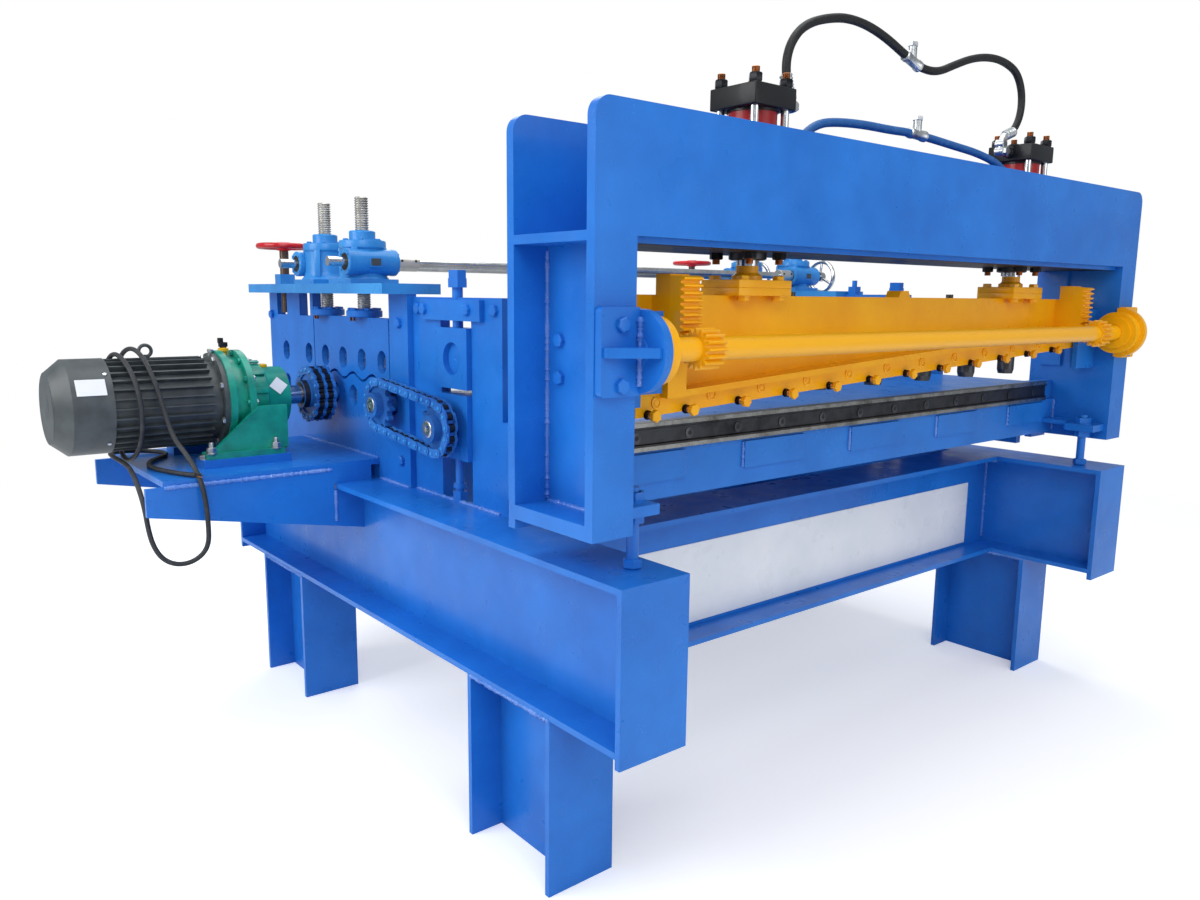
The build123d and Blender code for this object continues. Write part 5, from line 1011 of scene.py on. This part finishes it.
class MACHINE_OT_motor(bpy.types.Operator):
    """Fan grille, eye bolt, terminal box lid, bare plate and screws of the motor"""
    bl_idname = "machine.motor"
    bl_label = "Motor details"

    def execute(self, context):
        self.grille()
        self.eye()
        self.covers()
        flange = [facing(on_axis(-1180, along, up), LEFT, a) for along, up, a in circle(8, 111, 0.39)]
        ride(copied(bolt(9, "zinc", False), flange), "motor_flange_bolts")
        cowl = [facing(on_axis(-1436, along, up), (0, along, up)) for along, up, _ in circle(4, 112.6, 0.785)]
        ride(copied(bolt(5, "zinc", False), cowl), "cowl_screws")
        return {"FINISHED"}

    def grille(self):
        """Radial bars over a dark disc of painted shade, with a hub and a rolled rim."""
        count = 40
        face = facing(on_axis(-1545), LEFT)
        bar = slab(2.6, 34, 2.0, "motor", 0.5, 1)
        out = Matrix.Translation((0, 0.06, -0.0004))
        bars = [face @ Matrix.Rotation(2 * math.pi * k / count, 4, "Z") @ out for k in range(count)]
        parts = [copied(bar, bars)]
        # A black disc of painted shade behind the bars, where the fan's hollow lies in shade
        parts.append(moved(turned([(80, 0), (80, 0.5), (38, 0.5)], "painted shade hollow", 48), face))
        parts.append(moved(turned([(40, 0), (40, 1.2), (37, 2.0), (10, 2.4)], "motor", 40), face))
        parts.append(moved(turned([(84, -1.4), (84, 0.6), (82, 1.4), (79, 1.4)], "motor", 48), face))
        ride(joined(parts), "fan_grille")

    def eye(self):
        """Lifting eye on the motor's back."""
        clear()
        bpy.ops.mesh.primitive_torus_add(major_radius=0.014, minor_radius=0.0042, major_segments=32,
                                         minor_segments=12)
        ring = bpy.context.object
        bpy.ops.object.mode_set(mode="EDIT")
        finish_mesh(ring, "motor")
        moved(ring, Matrix.Rotation(math.pi / 2, 4, "X"))
        collar = turned([(12, 0), (12, 4), (7, 6), (5.5, 14)], "motor", 24)
        ride(joined([put(ring, on_axis(-1327, 0, 127)), put(collar, on_axis(-1327, 0, 104))]),
             "eye_bolt")

    def covers(self):
        """Terminal box lid with its screws, and a bare rating plate."""
        lid = put(slab(90, 5, 78, "motor", 2.0, 3), (-1242, 1537, 858))
        corners = [facing((-1242 + dx, 1540, 858 + dz), (0, 1, 0)) for dx in (-38, 38) for dz in (-32, 32)]
        ride(joined([lid, copied(bolt(5, "zinc", False), corners)]), "terminal_lid")
        # The rating plate leans with the cowl's round side
        plate = slab(62, 40, 0.8, "white", 0.3, 1)
        a = math.radians(62)
        spot = on_axis(-1470, -113.4 * math.sin(a), 113.4 * math.cos(a))
        ride(moved(plate, facing(spot) @ Matrix.Rotation(a, 4, "X")), "motor_plate")


class MACHINE_OT_reducer(bpy.types.Operator):
    """Flange bolts, oil cup, plugs, bare plate and foot bolts of the reducer"""
    bl_idname = "machine.reducer"
    bl_label = "Reducer details"

    def execute(self, context):
        flange = circle(12, 115)
        bolts = [facing(on_axis(-1121, along, up), LEFT, a) for along, up, a in flange]
        nuts = [facing(on_axis(-1105, along, up), RIGHT, a) for along, up, a in flange]
        ride(copied(bolt(8, "green", False), bolts), "reducer_bolts")
        ride(copied(bolt(8, "zinc", False), nuts), "reducer_nuts")
        self.nose()
        self.oiling()
        plate = slab(34, 34, 0.8, "white", 0.3, 1)
        a = math.radians(65)
        place = facing(on_axis(-1030, -78.2 * math.sin(a), 78.2 * math.cos(a))) @ Matrix.Rotation(a, 4, "X")
        ride(moved(plate, place @ Matrix.Rotation(math.pi / 4, 4, "Z")), "reducer_plate")
        feet = [facing((-1144 + dx, MOTOR_Y + dy, 742)) for dx in (-84, 74) for dy in (-142, 142)]
        holding = joined([turned([(13.5, 0), (13.5, 2.2), (12.5, 2.8)], "zinc", 24),
                          moved(nut(12.5, "zinc", 12), Matrix.Translation((0, 0, 0.0028))),
                          moved(thread(12.5, 26, 2.0, "zinc", 18), Matrix.Translation((0, 0, 0.001)))])
        ride(copied(holding, feet), "foot_bolts")
        bars = [facing((-1144 + dx, MOTOR_Y + dy, 728)) for dx in (-98, 98) for dy in (-125, 125)]
        ride(copied(bolt(12), bars), "bar_bolts")
        return {"FINISHED"}

    def nose(self):
        """Ribbed output end and its shaft seal."""
        nose = turned([(84, 0), (84, 3), (78, 9), (77.6, 10), (77.6, 60), (74, 64), (50, 65), (48, 68),
                       (34, 68.5)], "green", 56)
        put(nose, on_axis(-1064), RIGHT)
        seal = put(turned([(34, 0), (34, 3), (27, 4)], "cap black", 36), on_axis(-997), RIGHT)
        rib = slab(40, 4, 14, "green", 1.2)
        stood = Matrix.Translation((0, 0.097, 0)) @ Matrix.Rotation(math.pi / 2, 4, "Y")
        around = [facing(on_axis(-1084), LEFT, math.pi / 6 * k + 0.26) @ stood for k in range(12)]
        ride(joined([nose, copied(rib, around)]), "reducer_nose")
        ride(seal, "reducer_seal")

    def oiling(self):
        """Oil cup with its filler, and the level plug."""
        foot = turned([(9, 0), (9, 8), (13, 9), (13, 16), (9, 18)], "plug yellow", 28)
        cup = turned([(8, 0), (8, 5), (6, 6)], "glass", 24)
        parts = [put(foot, on_axis(-1142, 0, 112)), put(cup, on_axis(-1142, 0, 129))]
        parts.append(put(slab(20, 14, 12, "cap black", 1.5), on_axis(-1142, 0, 138)))
        parts.append(put(slab(12, 12, 14, "cap black", 1.5), on_axis(-1148, 0, 148)))
        filler = turned([(6, 0), (6, 10), (7.5, 11), (7.5, 17), (5, 18)], "zinc", 20)
        parts.append(put(filler, on_axis(-1176, -6, 110)))
        ride(joined(parts), "oil_cup")
        plug = turned([(13, 0), (13, 6), (11, 8), (6, 8.6)], "plug yellow", 28)
        ride(put(plug, on_axis(-1046, 0, 77)), "level_plug")


class MACHINE_OT_chains(bpy.types.Operator):
    """Pin heads of the drive chain and of the coupling's chain"""
    bl_idname = "machine.chains"
    bl_label = "Chain pins"

    def execute(self, context):
        # Teeth of each sprocket, and pitches in each straight strand
        teeth, strand = 14, 11
        radius = CHAIN_PITCH / math.sin(math.pi / teeth) / 2
        length = strand * CHAIN_PITCH
        # Centres of the two sprockets, and unit vectors along and across the chain's upper strand
        ay, az, by, bz = 1015.0, 858.0, 1015.0 - (length ** 2 - 28.0 ** 2) ** 0.5, 830.0
        uy, uz = (by - ay) / length, (bz - az) / length
        ny, nz = -uz, uy
        spots = []
        for k in range(strand):
            run = CHAIN_PITCH * k
            spots.append((ay + radius * ny + uy * run, az + radius * nz + uz * run))
            spots.append((by - radius * ny - uy * run, bz - radius * nz - uz * run))
        for k in range(teeth // 2):
            t = math.pi / 2 - 2 * math.pi * k / teeth
            dy, dz = [radius * (n * math.sin(t) + u * math.cos(t)) for n, u in ((ny, uy), (nz, uz))]
            spots += [(by + dy, bz + dz), (ay - dy, az - dz)]
        pin = turned([(4.2, 0), (4.2, 2.4), (3.4, 3.2)], "sky", 14)
        places = [facing((CHAIN_X + side * 13.6, y, z), (side, 0, 0)) for y, z in spots for side in (-1, 1)]
        ride(copied(pin, places), "chain_pins")
        end = turned([(19, 0), (19, 1.2), (17, 2.4), (6, 2.4), (4, 1.2)], "turned", 36)
        places = [facing((-906, y, z), LEFT) for y, z in ((ay, az), (by, bz))]
        ride(copied(end, places), "sprocket_shaft_ends")
        shaft = put(turned([(25.3, 0), (25.3, 54)], "shaft", 40), on_axis(-1000), RIGHT)
        hub = put(turned([(30, 0), (37.4, 1.5), (37.4, 16)], "dark steel", 48), on_axis(-946.5), RIGHT)
        ride(joined([shaft, hub]), "output_shaft")
        head = turned([(4.6, 0), (4.6, 2.0), (3.6, 2.8)], "sky", 14)
        ring = circle(16, CHAIN_PITCH / math.sin(math.pi / 16) / 2)
        around = [facing(on_axis(COUPLING_X + side * 27, along, up), (side, 0, 0))
                  for along, up, _ in ring for side in (-1, 1)]
        ride(copied(head, around), "coupling_pins")
        return {"FINISHED"}


class MACHINE_OT_stage(bpy.types.Operator):
    """Pale floor, soft lights and a white surround"""
    bl_idname = "machine.stage"
    bl_label = "Stage"

    def execute(self, context):
        clear()
        bpy.ops.mesh.primitive_plane_add(size=60, location=(0, 0, 0))
        floor = bpy.context.object
        floor.name = "floor"
        material = bpy.data.materials.new("pale floor")
        material.use_nodes = True
        tree = material.node_tree
        shader = tree.nodes["Principled BSDF"]
        shader.inputs["Base Color"].default_value = settings().floor_colour
        shader.inputs["Roughness"].default_value = 0.9
        seen = add(tree, "LightPath")
        glow = add(tree, "Emission", Color=(1, 1, 1, 1), Strength=0.34)
        lit = add(tree, "AddShader", s0=shader, s1=glow)
        # The floor fades to plain white between 2.2 and 4.5 m from the machine's middle
        away = add(tree, "VectorMath", {"operation": "LENGTH"}, s0=add(tree, "TexCoord").outputs["Object"])
        edge = add(tree, "MapRange", s0=away.outputs["Value"], s1=2.2, s2=4.5)
        plain = add(tree, "Emission", Color=(1, 1, 1, 1), Strength=1.0)
        fade = add(tree, "MixShader", s0=edge, s1=lit, s2=plain)
        view = add(tree, "MixShader", s0=seen.outputs["Is Camera Ray"], s1=shader, s2=fade)
        tree.links.new(view.outputs[0], tree.nodes["Material Output"].inputs["Surface"])
        floor.data.materials.append(material)
        # Pale blue light from all round, and plain white where the camera sees it
        world = bpy.data.worlds.new("surround")
        context.scene.world = world
        world.use_nodes = True
        tree = world.node_tree
        tree.nodes["Background"].inputs["Color"].default_value = (0.80, 0.86, 0.93, 1)
        tree.nodes["Background"].inputs["Strength"].default_value = 0.44
        seen = add(tree, "Background", Color=(1, 1, 1, 1), Strength=1.0)
        path = add(tree, "LightPath")
        eye = add(tree, "Math", {"operation": "MAXIMUM"}, s0=path.outputs["Is Camera Ray"],
                  s1=path.outputs["Is Transmission Ray"])
        mix = add(tree, "MixShader", s0=eye, s1=tree.nodes["Background"], s2=seen)
        tree.links.new(mix.outputs[0], tree.nodes["World Output"].inputs["Surface"])
        # Area lamps: place and aim in machine millimetres, power in watts, width in metres
        for name, spot, aim, power, width in (
                ("key", (-2600, -2600, 3600), (-200, 500, 800), 76, 2.6),
                ("left", (-4200, 1600, 2600), (-600, 900, 800), 92, 2.4),
                ("back", (1500, 4200, 3600), (0, 900, 900), 60, 3.0),
                ("top", (0, 600, 4600), (0, 700, 900), 84, 3.2),
                ("front", (900, -4300, 1500), (0, 200, 900), 36, 2.6)):
            lamp = bpy.data.lights.new(name, "AREA")
            lamp.energy = power
            lamp.size = width
            obj = bpy.data.objects.new(name, lamp)
            context.collection.objects.link(obj)
            obj.location = at(*spot)
            obj.rotation_euler = (at(*aim) - at(*spot)).to_track_quat("-Z", "Y").to_euler()
        context.scene.view_settings.view_transform = "Standard"
        return {"FINISHED"}


PIECES = (MACHINE_OT_camera, MACHINE_OT_cords, MACHINE_OT_finishes, MACHINE_OT_cylinders, MACHINE_OT_rods,
          MACHINE_OT_plate_bolts, MACHINE_OT_knife_bolts, MACHINE_OT_lower_knife_edges, MACHINE_OT_threads,
          MACHINE_OT_jacks, MACHINE_OT_weld_seams, MACHINE_OT_motor, MACHINE_OT_reducer, MACHINE_OT_chains,
          MACHINE_OT_stage)


class MACHINE_PT_panel(bpy.types.Panel):
    """Settings and pieces of the machine"""
    bl_label = "Cut-to-length machine"
    bl_idname = "MACHINE_PT_panel"
    bl_space_type = "VIEW_3D"
    bl_region_type = "UI"
    bl_category = "Machine"

    def draw(self, context):
        for name in MachineSettings.__annotations__:
            self.layout.prop(context.scene.machine_settings, name)
        for piece in PIECES:
            self.layout.operator(piece.bl_idname)


def register():
    """Register the settings, the operators and the panel."""
    for kind in (MachineSettings, *PIECES, MACHINE_PT_panel):
        bpy.utils.register_class(kind)
    bpy.types.Scene.machine_settings = bpy.props.PointerProperty(type=MachineSettings)


def unregister():
    """Take the settings, the operators and the panel away again."""
    del bpy.types.Scene.machine_settings
    for kind in (MACHINE_PT_panel, *reversed(PIECES), MachineSettings):
        bpy.utils.unregister_class(kind)


def main():
    """Build every piece in order."""
    register()
    for piece in PIECES:
        group, name = piece.bl_idname.split(".")
        getattr(getattr(bpy.ops, group), name)()


if __name__ == "__main__":
    main()
